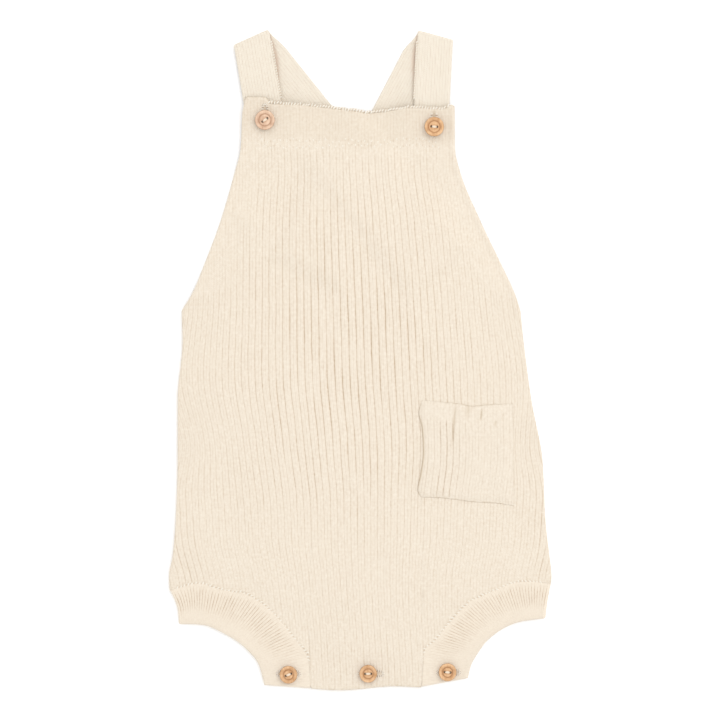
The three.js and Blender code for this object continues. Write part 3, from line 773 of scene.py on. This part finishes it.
front_share = edged_shares([0, 0.0009, 0.0022, 0.0042, 0.0066], 0.0092, 391)
front_bottom = lower_edge(across_front(front_share, BODY[0][0]))
front_top = bib_top(across_front(front_share, BIB_TOP[1].mean()))
front_y = even_rows(front_bottom, front_top, FRONT_ROWS)
front_x = across_front(front_share[:, None], front_y)
number = rib_number(front_x, front_y)
gutter_number, from_gutter = gutter_of(number)
line = gutter_number + RIBS_ASIDE
wobble = 0.028 * uneven_lines(5, 2 * RIBS_ASIDE, 34, line, front_y) * (1 - 2 * from_gutter)
gutter_number, from_gutter = gutter_of(number + wobble)
strength = rib_strength(front_x, front_y)
# The ribs stand out in the middle and close up where the cloth is stretched or pressed flat.
openness = 0.2 - 0.1 * smoothstep(-front_y, 60, 120)
for much, middle_x, middle_y, wide, high in RIB_PATCHES:
    openness += much * mound(front_x, front_y, middle_x, middle_y, wide, high)
openness *= 1 + 0.45 * uneven_lines(6, 2 * RIBS_ASIDE, 60, line, front_y)
openness = np.clip(openness, 0.05, 1.3)
dip = bell(from_gutter, GUTTER_WIDTH) * openness
between_wales = bell(0.5 - from_gutter, 0.12)
roundness = 1 - (1 - 2 * from_gutter) ** 2.4
relief = RIB_HEIGHT * roundness * (0.45 + 0.55 * openness) - GUTTER_DEPTH * dip - 0.03 * between_wales
# How far each point is from the nearest side, measured square to it.
left_slope = left_side(front_y + 0.5) - left_side(front_y - 0.5)
right_slope = right_side(front_y + 0.5) - right_side(front_y - 0.5)
from_left = (front_x - left_side(front_y)) / np.hypot(1, left_slope)
from_right = (right_side(front_y) - front_x) / np.hypot(1, right_slope)
from_side = np.minimum(from_left, from_right)
from_top = front_y[:, -1:] - front_y
from_bottom = front_y - front_y[:, :1]
edge = rounded_edge(np.minimum(from_side, from_top))
edge = np.minimum(edge, rounded_edge(from_bottom, linked_share(front_y[:, :1])))
# A roll along the armholes and the bib's top, where plain knitting curls.
from_rim = np.minimum(np.where(front_y > UNDERARM - 6, from_side, 99), from_top)
roll = RIM_ROLL * bell(from_rim - 1.8, 1.2)
roll -= 0.2 * bell(from_rim - 4.6, 1.6)
under = front_height(front_x, front_y)
from_edges = np.minimum(np.minimum(from_side, from_top), from_bottom)
swell = front_swell(front_x, front_y) * smoothstep(from_edges, 1, 12)
wall = CLOTH * edge + relief * strength * (1 - 0.8 * under_pocket(front_x, front_y)) + roll + swell
front_outer = np.stack([front_x, front_y, under + np.maximum(wall, LEAST_WALL)], axis=-1)
front_inner = np.stack([front_x, front_y, under], axis=-1)
front_stitches = np.stack([(number + wobble) * WALES_PER_RIB, front_y / COURSE], -1)
# Painted shade between the loops of the cast-off edge, where the leg bands are linked on and in the
# buttonhole slits; the bib's plain band is a little darker too.
ticks = 0.5 + 0.5 * np.sin(2 * np.pi * (front_x + 0.7 * from_top) / CAST_OFF_PITCH)
rim_shade = 0.3 * ticks**2 * bell(from_top - 0.3, 0.6)
seam_ticks = uneven(13, 2.6, front_x - front_y, front_x + front_y)
seam_shade = 0.5 * smoothstep(seam_ticks, 0.2, 1) * bell(from_bottom - 0.7, 0.9)
band_shade = 0.12 * (1 - smoothstep(from_top, BIB_BAND - 6, BIB_BAND + 2))
front_shade = rim_shade + seam_shade + band_shade + buttonhole_shade(front_x, front_y)
front_looks = {"gutter": openness * strength, "shade": front_shade}
front = knit_wall("knit_front", front_outer, front_inner, front_stitches, front_looks, 4)
front.data.materials.append(body_cotton)
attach(front, "root")
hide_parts("front_panel")


# The leg bands. A strip of finer ribbing closes each leg opening. It runs along the front's leg seam,
# folds round at the side and comes back along the back's leg seam.
BAND_RIBS = 56
BAND_FOLD_COLUMNS = 8
BAND_GROOVE = 0.17  # depth between its ribs on the front, and on its hidden back half
BAND_GROOVE_BEHIND = 0.25
BAND_LIP = 0.2  # height of the roll along the leg opening
BAND_WIDTH = 22  # on which the stitches' courses are counted
SEAM_GAP = 0.02
SIDE_TUCK = {"left": 1.8, "right": 0.4}  # how far a band's folded side is drawn in, halfway down
LEG_OPENING = {
    "left": [
        (-57.4, -194.8),
        (-60.9, -182.4),
        (-66.3, -175.2),
        (-74.7, -168.0),
        (-87.9, -160.8),
        (-95.7, -158.6),
        (-108.9, -158.2),
    ],
    "right": [
        (64.7, -190.7),
        (66.9, -182.4),
        (71.1, -175.2),
        (76.5, -168.0),
        (86.1, -160.8),
        (96.3, -156.8),
        (111.3, -154.8),
    ],
}


def path_of(points):
    """A path through points, as a function from shares of its length to points, and that length."""
    steps = np.linalg.norm(np.diff(points, axis=0), axis=1)
    lengths = np.concatenate([[0], np.cumsum(steps)])

    def at(share):
        return np.stack([np.interp(share * lengths[-1], lengths, points[:, k]) for k in (0, 1)], -1)

    return at, lengths[-1]


def leg_seam(side):
    """The points of the panels' lower edge along one leg seam, from the crotch to the side."""
    share = np.linspace(-1, 1, 8 * RIB_COUNT + 1) * (1 if side == "left" else -1)
    bottom = rib_bottom(share)
    corner = int(np.argmax(bottom < CROTCH_CORNER))
    return np.stack([rib_x(share, bottom), bottom], -1)[: corner + 1][::-1]


def spline(points, samples=60):
    """A smooth curve through points, at many places along it."""
    padded = np.concatenate([points[:1], points, points[-1:]])
    places = []
    for i in range(len(points) - 1):
        before, start, end, after = padded[i : i + 4]
        for t in np.linspace(0, 1, samples, endpoint=False):
            pull = (end - before) / 2
            release = (after - start) / 2
            bend = start * (2 * t**3 - 3 * t**2 + 1) + end * (3 * t**2 - 2 * t**3)
            places.append(bend + pull * (t**3 - 2 * t**2 + t) + release * (t**3 - t**2))
    places.append(points[-1])
    return np.array(places)


band_cotton = knitted_cotton(
    "band_cotton", (255, 243, 225), (204, 174, 142), 0.5, sharp=5.0, gutter_shade=0.62, loose=0.7,
    base=0.02,
)
band_seams = {}

for seed, side in enumerate(LEG_OPENING):
    outward = -1 if side == "left" else 1
    seam, seam_length = path_of(leg_seam(side))
    opening, opening_length = path_of(spline(np.array(LEG_OPENING[side])))
    fold_share = 1 - FOLD_REACH / opening_length
    seam_share = 1 - FOLD_REACH / seam_length
    band_column = np.arange(4 * BAND_RIBS + 1) / 4
    across = np.concatenate([[0, 0.012, 0.03, 0.06], np.linspace(0.1, 0.9, 13), [0.95, 0.975, 0.99, 1]])
    across_row = across[None, :, None]

    def flat_points(share):
        ahead = seam(share * seam_share + 0.004) - seam(share * seam_share)
        ahead /= np.linalg.norm(ahead, axis=-1, keepdims=True) + 1e-9
        away = np.stack([-ahead[:, 1], ahead[:, 0]], -1) * (-outward * SEAM_GAP)
        points = (seam(share * seam_share) + away)[:, None] * (1 - across_row)
        points = points + opening(share * fold_share)[:, None] * across_row
        tuck = SIDE_TUCK[side] * smoothstep(share, 0.8, 1)[:, None] * np.sin(np.pi * across)
        points[..., 0] -= outward * tuck
        return points

    share = band_column / BAND_RIBS
    front_half = flat_points(share)
    number, from_gutter = gutter_of(band_column)
    rows = np.broadcast_to(across[None, :], front_half.shape[:2])
    fade = smoothstep(rows, 0.06, 0.2) * (1 - smoothstep(rows, 0.48, 0.78))
    fade = fade * smoothstep(share, 0.12, 0.3)[:, None]
    fade = fade * (1 + 0.3 * uneven_lines(41 + seed, BAND_RIBS + 1, 14, number, rows.T * 25).T)
    groove = (np.cos(2 * np.pi * from_gutter)[:, None] * 0.5 + 0.5) * fade
    width = np.linalg.norm(front_half[:, -1] - front_half[:, 0], axis=-1)[:, None]
    edge = np.minimum(rounded_edge(rows * width, SEAM_SHARE), rounded_edge((1 - rows) * width))
    ends = rounded_edge(share * seam_length)[:, None]
    swell = 0.12 * uneven(51 + seed, 22, front_half[..., 0], front_half[..., 1])
    lip = BAND_LIP * bell((1 - rows) * width - 1.8, 1.1)
    front_wall = CLOTH * np.minimum(edge, ends) + (0.06 - BAND_GROOVE * groove) * fade + swell * edge + lip

    grids = {}
    angles = [math.pi / 2] * len(share)
    flats = [front_half]
    walls = [front_wall]
    turns = np.arange(1, BAND_FOLD_COLUMNS) / BAND_FOLD_COLUMNS
    side_points = flat_points(np.ones(len(turns)))
    flats.append(side_points)
    walls.append(np.broadcast_to(CLOTH * edge[-1:], side_points.shape[:2]))
    angles += [math.pi * (0.5 - turn) for turn in turns]
    flats.append(front_half[::-1])
    walls.append(CLOTH * np.minimum(edge, ends)[::-1] - BAND_GROOVE_BEHIND * groove[::-1])
    angles += [-math.pi / 2] * len(share)
    flat = np.concatenate(flats)
    wall = np.concatenate(walls)
    angle = np.array(angles)[:, None]
    inside = FOLD_RADIUS - CLOTH / 2
    for key, radius in (("outer", inside + wall), ("inner", inside + 0 * wall)):
        x = flat[..., 0] + outward * np.cos(angle) * radius
        z = FOLD_REACH + np.sin(angle) * radius
        grids[key] = np.stack([x, flat[..., 1], z], -1)
    wales = np.concatenate([band_column, BAND_RIBS + turns, BAND_RIBS + 1 + band_column])
    wales = np.broadcast_to(wales[:, None] * 2.0, wall.shape)
    stitches = np.stack([wales, np.broadcast_to(across * BAND_WIDTH / COURSE, wall.shape)], -1)
    depth = np.concatenate([fade, np.zeros((len(turns), len(across))), fade[::-1]])
    outer, inner = grids["outer"], grids["inner"]
    if side == "left":
        outer, inner, stitches, depth = outer[::-1], inner[::-1], stitches[::-1], depth[::-1]
    shade_here = buttonhole_shade(flat[..., 0], flat[..., 1])[:, ::-1]
    looks = {"gutter": depth[:, ::-1], "shade": shade_here[::-1] if side == "left" else shade_here}
    band = knit_wall(
        f"knit_leg_band_{side}", outer[:, ::-1], inner[:, ::-1], stitches[:, ::-1], looks, 1
    )
    band.data.materials.append(band_cotton)
    band_seams[side] = (seam, seam_length)
    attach(band, "root")
    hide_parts(f"leg_band_{side}")


# The pocket. A small ribbed patch with a plain hem at its mouth, linked to the front along its sides
# and bottom. Its mouth is a little longer than the cloth behind it, so it puckers.
POCKET_HEM = 10  # plain knitting along the mouth
POCKET_CLOTH = 1.2
POCKET_LIFT = 0.16  # how far its left side stands off the front
POCKET_WIDTH = 55
POCKET_HEIGHT = 60
POCKET_SIDES = np.array([  # y, left, right
    (-88.0, 37.5, 92.4),
    (-82.0, 36.6, 92.4),
    (-77.7, 34.6, 92.3),
    (-68.4, 36.3, 92.2),
    (-55.0, 37.9, 92.1),
    (-40.2, 37.2, 92.0),
    (-31.8, 35.3, 91.9),
    (-23.0, 37.6, 91.8),
]).T
POCKET_ENDS = np.array([  # across, bottom, top
    (0, -81.8, -23.8),
    (0.2, -82.3, -24.9),
    (0.4, -83.6, -25.8),
    (0.57, -84.8, -27.4),
    (0.75, -85.3, -26.4),
    (1, -87.0, -26.1),
]).T
# The first rib line beside the pocket's left side, and how far apart the lines are.
POCKET_LINE = np.array([  # y, x
    (-86.0, 38.0),
    (-80.0, 38.4),
    (-72.0, 39.4),
    (-62.0, 40.6),
    (-50.0, 40.9),
    (-37.0, 40.5),
    (-24.0, 40.5),
]).T
POCKET_SPACING = 3.78
# How deep each gutter is, from the one left of the first rib line to the right side.
POCKET_GUTTERS = np.array(
    [0.1, 0.35, 0.3, 0.75, 1, 0.8, 0.42, 0.3, 0.2, 0.12, 0.12, 0.18, 0.12, 0.15, 0.1, 0.1]
)
# Creases that run down from the mouth: x, y and length of the crease, its half width and its depth.
POCKET_CREASES = [
    (56.2, -39.0, 24, 0.6, 0.6),
    (72.7, -32.4, 6.5, 0.5, 0.7),
    (81.3, -37.6, 3, 0.8, 0.4),
    (85.6, -34.0, 6, 0.6, 0.3),
    (64.5, -30.0, 8, 1.8, 0.3),
]
pocket_left = through(POCKET_SIDES[0], POCKET_SIDES[1])
pocket_right = through(POCKET_SIDES[0], POCKET_SIDES[2])
pocket_bottom = through(POCKET_ENDS[0], POCKET_ENDS[1])
pocket_top = through(POCKET_ENDS[0], POCKET_ENDS[2])

pocket_cotton = knitted_cotton("pocket_cotton", (255, 245, 229), (208, 184, 156), 0.5, wale_shade=0.3)


def ends_faded(share, start, full, fading, end):
    """Rises from 0 to 1 between two shares of a row and falls back to 0 between two others."""
    return (smoothstep(share, start, full) * (1 - smoothstep(share, fading, end)))[:, None]


across = edged_shares([0, 0.004, 0.01, 0.018, 0.028], 0.038, 127)
up = edged_shares([0, 0.006, 0.013, 0.022, 0.04], 0.06, 55)
pocket_y = pocket_bottom(across)[:, None] * (1 - up) + pocket_top(across)[:, None] * up
pocket_x = pocket_left(pocket_y) + (pocket_right(pocket_y) - pocket_left(pocket_y)) * across[:, None]
pocket_number = 1 + (pocket_x - through(*POCKET_LINE)(pocket_y)) / POCKET_SPACING
gutter_number, from_gutter = gutter_of(pocket_number)
gutter_number = np.clip(gutter_number, 0, len(POCKET_GUTTERS) - 1)
from_hem = pocket_top(across)[:, None] - POCKET_HEM - pocket_y
strength = np.clip(from_hem / 3, 0, 1) * smoothstep(up, 0.0, 0.04)
depth = POCKET_GUTTERS[gutter_number]
depth = depth * (1 + 0.3 * uneven_lines(71, len(POCKET_GUTTERS), 30, gutter_number, pocket_y))
narrow = bell(from_gutter, 0.09)
roundness = 1 - (1 - 2 * from_gutter) ** 2.4
relief = (0.07 * roundness - 0.12 * depth * narrow) * strength
crease = np.zeros_like(pocket_y)
for crease_x, crease_y, length, half_width, deep in POCKET_CREASES:
    down = (pocket_y - crease_y) / (length / 2)
    aside = (pocket_x - crease_x - 0.08 * (pocket_y - crease_y)) / half_width
    crease += deep * np.exp(-(aside**2) - down**4)
side_distance = np.minimum(across, 1 - across)[:, None] * POCKET_WIDTH
end_distance = np.minimum(up, 1 - up) * POCKET_HEIGHT
edge_distance = np.minimum(side_distance, end_distance)
edge = 0.14 + 0.86 * smoothstep(edge_distance, -0.6, 2.6 + 3.4 * across[:, None])
swell = 0.12 * uneven(81, 20, pocket_x, pocket_y) * smoothstep(edge_distance, 0, 6)
# Its left side and bottom stand a little off the front, and its right side is pulled down to it.
lift = 0.05 + POCKET_LIFT * (1 - across[:, None]) * np.exp(-(((pocket_y + 54) / 26) ** 4))
pocket_under = front_height(pocket_x, pocket_y) + CLOTH + front_swell(pocket_x, pocket_y) + lift
pocket_wall = POCKET_CLOTH * edge + relief - crease + swell
pocket_outer = np.stack([pocket_x, pocket_y, pocket_under + np.maximum(pocket_wall, 0.3)], -1)
pocket_inner = np.stack([pocket_x, pocket_y, pocket_under], -1)
pocket_stitches = np.stack([pocket_number * WALES_PER_RIB, pocket_y / COURSE], -1)
# Painted shade on its rim where the cloth stands off the front, down the left side and along the
# ends, and in its creases.
broken = 0.75 + 0.45 * uneven(83, 4.5, pocket_x, pocket_y)
left_line = bell(across[:, None] * POCKET_WIDTH, 0.5)
left_line = left_line * np.exp(-(((pocket_y + 55) / 23) ** 4))
bottom_line = bell(up * POCKET_HEIGHT, 0.4) * ends_faded(across, 0.05, 0.14, 0.84, 0.94)
top_line = bell((1 - up) * POCKET_HEIGHT, 0.4) * ends_faded(across, 0.1, 0.34, 0.8, 0.96)
edge_shade = 1.5 * left_line + (0.62 * bottom_line + 0.6 * top_line) * broken
pocket_looks = {"gutter": 0.9 * depth * strength, "shade": np.clip(crease * 0.9 + edge_shade, 0, 1)}
pocket = knit_wall("knit_pocket", pocket_outer, pocket_inner, pocket_stitches, pocket_looks, 4)
pocket.data.materials.append(pocket_cotton)
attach(pocket, "root")
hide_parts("pocket")


# The stitches. Loops of the same yarn that show on the surface: the cast-off edge along the bib and
# down the straps, the loops where the bib's ribs begin, the linking of the leg bands, and the five
# worked buttonholes. Each row has raised loops, painted lighter as a highlight, and between them the
# sunk side of the yarn, painted darker as shade.
LINK_PITCH = 2.3
STRAP_EDGE_PITCH = 1.6
ROW_STEP = 3.2  # between the two rows of loops where the bib's ribs begin
BAND_TOP = FOLD_REACH + LAYER / 2 + CLOTH / 2  # height of the bands' upper face
RIB_STARTS = 14  # on each side of the middle
BUTTONHOLE_STITCHES = 24


def spun_cotton(name, colour, shadow):
    """Loosely spun cotton yarn: a few dark lines where it is twisted, and soft fibres."""
    material, shade, surface = new_material(name)
    place = shade.node("ShaderNodeTexCoord", output="Object")
    twist = shade.node("ShaderNodeTexWave", {"wave_type": "BANDS"}, {"Vector": place, "Scale": 700.0})
    fibres = shade.noise(place, 2600, 3, 0.6)
    tone = twist * 0.35 + fibres * 0.5
    tint = shade.mix(tone, lit_colour(colour), lit_colour(shadow))
    shade.covers(surface, tint, 0.8 + fibres * 0.15, (0.4, 0.1 * MM, fibres), specular=0.2)
    return material


def apply_place(piece):
    """Puts a piece's place, turn and scale into its mesh, so its object sits at the origin."""
    bpy.ops.object.select_all(action="DESELECT")
    piece.select_set(True)
    bpy.context.view_layer.objects.active = piece
    bpy.ops.object.transform_apply(location=True, rotation=True, scale=True)


def top_of_front(x, y):
    return front_height(x, y) + front_swell(x, y) + CLOTH


def sew(name, places, size, yarn):
    """Copies the one stitch to each place (x, y, z and turn in degrees) and joins the copies."""
    bpy.ops.object.select_all(action="DESELECT")
    copies = []
    for x, y, z, turn in places:
        loop = stitch.copy()
        loop.data = stitch.data.copy()
        loop.location = (x * MM, y * MM, z * MM)
        loop.rotation_euler = (0, 0, math.radians(turn))
        loop.scale = size
        bpy.context.collection.objects.link(loop)
        loop.select_set(True)
        copies.append(loop)
    bpy.context.view_layer.objects.active = copies[0]
    bpy.ops.object.join()
    row = copies[0]
    row.name = f"stitches_{name}"
    row.data.name = row.name
    apply_place(row)
    row.data.materials.append(yarn)
    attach(row, "root")


def sew_row(name, places, length, width, sunk=0.7, yarn=None):
    """A row of raised loops, painted lighter as a highlight, with the sunk side of the yarn halfway
    between each two of them, painted darker as shade.
    """
    between = [
        ((x + next_x) / 2, (y + next_y) / 2, min(z, next_z) - 0.04, (turn + next_turn) / 2)
        for (x, y, z, turn), (next_x, next_y, next_z, next_turn) in zip(places, places[1:])
    ]
    sew(name, places, (length, width, width), lit_stitch_cotton)
    sew(f"{name}_sunk", between, (length * 0.95, width * sunk, width), yarn or shaded_sunk_cotton)


# Lit and shaded copies of one yarn: painted highlight on the raised loops, painted shade on the sunk yarn
# between them, and darker painted shade in the buttonhole slits.
lit_stitch_cotton = spun_cotton("lit_stitch_cotton", (255, 252, 242), (255, 243, 224))
shaded_sunk_cotton = spun_cotton("shaded_sunk_cotton", (236, 219, 198), (216, 196, 172))
slit_shade_cotton = spun_cotton("slit_shade_cotton", (206, 186, 166), (176, 152, 130))

# One stitch, a short bulging loop of yarn that is half sunk in the cloth.
bpy.ops.object.select_all(action="DESELECT")
bpy.ops.mesh.primitive_uv_sphere_add(segments=8, ring_count=5, radius=0.5 * MM)
stitch = bpy.context.object
stitch.name = "stitch"
bpy.ops.object.mode_set(mode="EDIT")
bpy.ops.mesh.select_all(action="SELECT")
bpy.ops.transform.resize(value=(2.0, 0.8, 0.7))
bpy.ops.object.mode_set(mode="OBJECT")
bpy.ops.object.shade_smooth()
stitch_noise = np.random.default_rng(91)

places = []
for x in np.arange(-54.5, 53, CAST_OFF_PITCH):
    y = float(bib_top(x)) - 0.1 + stitch_noise.uniform(-0.4, 0.4)
    height = float(top_of_front(x, y)) + stitch_noise.uniform(0, 0.2)
    places.append((x + stitch_noise.uniform(-0.2, 0.2), y, height, 58 + stitch_noise.uniform(-22, 22)))
sew_row("cast_off", places, 1.25, 1.2)

for side, runs in RUNS.items():
    run = runs["front"]
    inner_edge = (run["width"] / 2 + 0.1) * (1 if side == "left" else -1)
    places = []
    for down in np.arange(3, 38, STRAP_EDGE_PITCH):
        x = run["start"][0] + down * run["down"][0] + inner_edge * run["across"][0]
        y = run["start"][1] + down * run["down"][1] + inner_edge * run["across"][1]
        height = float(front_run_height(side, x, y)) + CLOTH - stitch_noise.uniform(0.25, 0.5)
        places.append((x, y, height, 45 + stitch_noise.uniform(-30, 30)))
    sew_row(f"strap_edge_{side}", places, 1, 1.1, 0.9)

for row, aside in ((0, 0), (1, 0.45)):
    places = []
    for line in range(-RIB_STARTS, RIB_STARTS):
        y = float(bib_top(0)) - BIB_BAND + 5.5 - ROW_STEP * row + stitch_noise.uniform(-1.3, 1.3)
        x = float(middle_line(y) + (line + aside + 0.5) * rib_spacing(y))
        x += stitch_noise.uniform(-0.3, 0.3)
        places.append((x, y, float(top_of_front(x, y)) - 0.05, 90 + stitch_noise.uniform(-40, 40)))
    sew_row(f"rib_starts_{row}", places, 0.8, 0.85, 0.5)

for side, (seam, seam_length) in band_seams.items():
    places = []
    for share in np.arange(0.14, 0.96, LINK_PITCH / seam_length):
        ahead = seam(share + 0.01) - seam(share)
        turn = math.degrees(math.atan2(ahead[1], ahead[0]))
        x, y = seam(share) + stitch_noise.uniform(-0.3, 0.3, 2)
        slant = 50 if side == "left" else -50
        height = BAND_TOP - stitch_noise.uniform(0.1, 0.35)
        places.append((x, y, height, turn + slant + stitch_noise.uniform(-22, 22)))
    sew_row(f"leg_seam_{side}", places, 1.1, 1.1, 0.9)

for name, (x, y, half_width, half_height) in BUTTONHOLES.items():
    in_band = name in ("crotch_left", "crotch_right")
    places = []
    for k in range(BUTTONHOLE_STITCHES + 1):
        turn = 2 * math.pi * k / BUTTONHOLE_STITCHES
        # Square-ended ovals, so the stitches crowd round the ends.
        east = half_width * math.copysign(abs(math.cos(turn)) ** 0.7, math.cos(turn))
        north = half_height * math.copysign(abs(math.sin(turn)) ** 0.7, math.sin(turn))
        top = BAND_TOP if in_band else float(top_of_front(x + east, y + north))
        outward = math.degrees(math.atan2(north / half_height**2, east / half_width**2))
        places.append((x + east, y + north, top + 0.02, outward + stitch_noise.uniform(-14, 14)))
    sew_row(f"buttonhole_{name}", places, 0.85, 0.9, 0.9, slit_shade_cotton)
bpy.data.objects.remove(stitch)


# The buttons. Five turned beech buttons with a raised rim and two holes. Two are sewn on the straps
# and three along the crotch, each with a few turns of cream thread through its holes.
BUTTON_HEIGHT = 2.4
BUTTON_HOLE = {"radius": 0.75, "spacing": 3.4}
BUTTON_BEVEL = 0.55
GROOVE_INSIDE = 2.3  # how far the groove lies inside the rim
THREAD_RADIUS = 0.42
THREAD_LOOP = 1.2
THREAD_ASIDE = 0.3
BUTTONS = {
    "strap_left": {"diameter": 11.8, "turn": 36, "tone": "pale"},
    "strap_right": {"diameter": 11.6, "turn": -4, "tone": "warm"},
    "crotch_left": {"diameter": 10.5, "turn": 22, "tone": "deep"},
    "crotch_middle": {"diameter": 10.5, "turn": 0, "tone": "deep"},
    "crotch_right": {"diameter": 10.6, "turn": -5, "tone": "deep"},
}
# Each wood: its light and dark grain, and its colour where shade is painted on.
WOODS = {
    "pale": ((252, 218, 188), (206, 164, 134), (176, 130, 98)),
    "warm": ((252, 206, 156), (200, 148, 100), (166, 106, 58)),
    "deep": ((250, 206, 160), (200, 146, 94), (160, 102, 54)),
}


def beech(name, light, dark, wood_in_shade):
    """Turned beech with a thin coat of wax: fine straight grain, a little uneven, darker in its pores."""
    material, shade, surface = new_material(name)
    place = shade.node("ShaderNodeTexCoord", output="Object")
    stretched = shade.node(
        "ShaderNodeMapping", {}, {"Vector": place, "Scale": (2600.0, 260.0, 900.0), "Rotation": (0, 0, 0.5)}
    )
    grain = shade.node("ShaderNodeTexNoise", {}, {"Vector": stretched, "Scale": 1.0, "Detail": 4.0})
    broad = shade.noise(place, 320, 2)
    tone = grain * 1.5 + broad * 1.7 - 1.15
    tint = shade.mix(tone.math("MAXIMUM", tone, 0.0), lit_colour(light), lit_colour(dark))
    # Painted shade: the wood blends to its shaded colour as far as the mesh's painted shade value says.
    tint = shade.mix(shade.attribute("shade_painted"), tint, lit_colour(wood_in_shade))
    shade.covers(surface, tint, 0.45 + grain * 0.22, (0.4, 0.08 * MM, grain), specular=0.35)
    return material


def face_up(piece):
    """Selects, in edit mode, the one flat face on top of a piece."""
    bpy.ops.object.mode_set(mode="OBJECT")
    top = max(polygon.center.z for polygon in piece.data.polygons)
    for polygon in piece.data.polygons:
        polygon.select = polygon.normal.z > 0.99 and polygon.center.z > top - 1e-6
    bpy.ops.object.mode_set(mode="EDIT")


woods = {tone: beech(f"beech_{tone}", *colours) for tone, colours in WOODS.items()}
thread_cotton = spun_cotton("thread_cotton", (255, 242, 222), (248, 224, 196))

for button_name, spec in BUTTONS.items():
    low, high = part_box(f"button_{button_name}")
    middle = (low + high) / 2
    radius = spec["diameter"] / 2 * MM
    bpy.ops.object.select_all(action="DESELECT")
    bpy.ops.mesh.primitive_cylinder_add(
        vertices=56, radius=radius, depth=BUTTON_HEIGHT * MM, location=middle
    )
    button = bpy.context.object
    button.name = f"turned_button_{button_name}"
    button.data.name = button.name
    bpy.ops.object.mode_set(mode="EDIT")
    bpy.ops.mesh.select_mode(type="FACE")
    # The crown of the rim, a dished ring, a groove and the flat middle, each inset from the last.
    face_up(button)
    for inset, drop in ((1.0, -0.1), (0.95, -0.3), (0.35, -0.4), (0.35, 0.25), (0.5, 0.08)):
        bpy.ops.mesh.inset(thickness=inset * MM, depth=0)
        bpy.ops.transform.translate(value=(0, 0, drop * MM))
    bpy.ops.object.mode_set(mode="OBJECT")
    bevel = button.modifiers.new("rounded", "BEVEL")
    bevel.width = BUTTON_BEVEL * MM
    bevel.segments = 3
    bevel.limit_method = "ANGLE"
    bevel.angle_limit = math.radians(50)
    bpy.ops.object.modifier_apply(modifier=bevel.name)
    turn = math.radians(spec["turn"])
    along = Vector((math.cos(turn), math.sin(turn), 0))
    holes = [along * (sign * BUTTON_HOLE["spacing"] / 2 * MM) for sign in (-1, 1)]
    for hole in holes:
        bpy.ops.mesh.primitive_cylinder_add(
            vertices=20,
            radius=BUTTON_HOLE["radius"] * MM,
            depth=3 * BUTTON_HEIGHT * MM,
            location=middle + hole,
        )
        drill = bpy.context.object
        bpy.ops.object.select_all(action="DESELECT")
        bpy.context.view_layer.objects.active = button
        cut = button.modifiers.new("hole", "BOOLEAN")
        cut.operation = "DIFFERENCE"
        cut.object = drill
        bpy.ops.object.modifier_apply(modifier=cut.name)
        bpy.data.objects.remove(drill)
    # Painted shade: the groove, a little of the outer side and, more lightly, the wood round the holes.
    rings = [Vector(point.co[:2]).length / MM for point in button.data.vertices]
    groove = spec["diameter"] / 2 - GROOVE_INSIDE
    shade_painted = [0.9 * math.exp(-(((ring - groove) / 0.3) ** 2)) for ring in rings]
    shade_painted = [value + 0.55 * (ring > groove + 2.1) for value, ring in zip(shade_painted, rings)]
    for k, point in enumerate(button.data.vertices):
        beside = min((Vector((point.co.x, point.co.y, 0)) - hole).length for hole in holes)
        shade_painted[k] = 0.35 if beside < 1.2 * BUTTON_HOLE["radius"] * MM else shade_painted[k]
    button.data.attributes.new("shade_painted", "FLOAT", "POINT").data.foreach_set("value", shade_painted)
    button.select_set(True)
    bpy.ops.object.shade_smooth_by_angle(angle=math.radians(40))
    apply_place(button)
    button.data.materials.clear()
    button.data.materials.append(woods[spec["tone"]])
    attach(button, "root")
    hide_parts(f"button_{button_name}")

    threads = []
    for aside in (-THREAD_ASIDE, THREAD_ASIDE):
        bpy.ops.object.select_all(action="DESELECT")
        bpy.ops.mesh.primitive_torus_add(
            major_segments=28,
            minor_segments=8,
            major_radius=THREAD_LOOP * MM,
            minor_radius=THREAD_RADIUS * MM,
            location=middle + Vector((-along.y, along.x, 0)) * (aside * MM) - Vector((0, 0, 0.15 * MM)),
            rotation=(math.pi / 2, 0, turn),
        )
        threads.append(bpy.context.object)
        threads[-1].scale = (1, 0.72, 1)
    for thread in threads:
        thread.select_set(True)
    bpy.context.view_layer.objects.active = threads[0]
    bpy.ops.object.join()
    thread = threads[0]
    thread.name = f"thread_{button_name}"
    thread.data.name = thread.name
    bpy.ops.object.shade_smooth()
    apply_place(thread)
    thread.data.materials.append(thread_cotton)
    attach(thread, "root")


# The table, the light and the camera. A plain white table, one large soft lamp from the upper right and
# light from all round, with the camera straight above.
bpy.ops.object.select_all(action="DESELECT")
bpy.ops.mesh.primitive_plane_add(size=6, location=(0, 0, -0.0002))
table = bpy.context.object
table.name = "table"
table_paint, shade, surface = new_material("table_paint")
surface.inputs["Base Color"].default_value = (0.97, 0.97, 0.97, 1)
surface.inputs["Roughness"].default_value = 0.9
surface.inputs["Specular IOR Level"].default_value = 0.1
table.data.materials.append(table_paint)

lamp_data = bpy.data.lights.new("soft_lamp", "AREA")
lamp_data.shape = "DISK"
lamp_data.size = 1.8
lamp_data.energy = 14
lamp = bpy.data.objects.new("soft_lamp", lamp_data)
lamp.location = (0.7, 0.7, 1.9)
lamp.rotation_euler = (-Vector(lamp.location)).to_track_quat("-Z", "Y").to_euler()
bpy.context.collection.objects.link(lamp)

world = bpy.data.worlds.new("studio")
world.use_nodes = True
world.node_tree.nodes["Background"].inputs["Color"].default_value = (1, 1, 1, 1)
world.node_tree.nodes["Background"].inputs["Strength"].default_value = 1.15
bpy.context.scene.world = world

camera_data = bpy.data.cameras.new("camera")
camera_data.sensor_width = 36
camera_data.lens = 200
camera = bpy.data.objects.new("camera", camera_data)
camera.location = (0, 0.0003, 2.404)
bpy.context.collection.objects.link(camera)
bpy.context.scene.camera = camera
bpy.context.scene.view_settings.view_transform = "Standard"
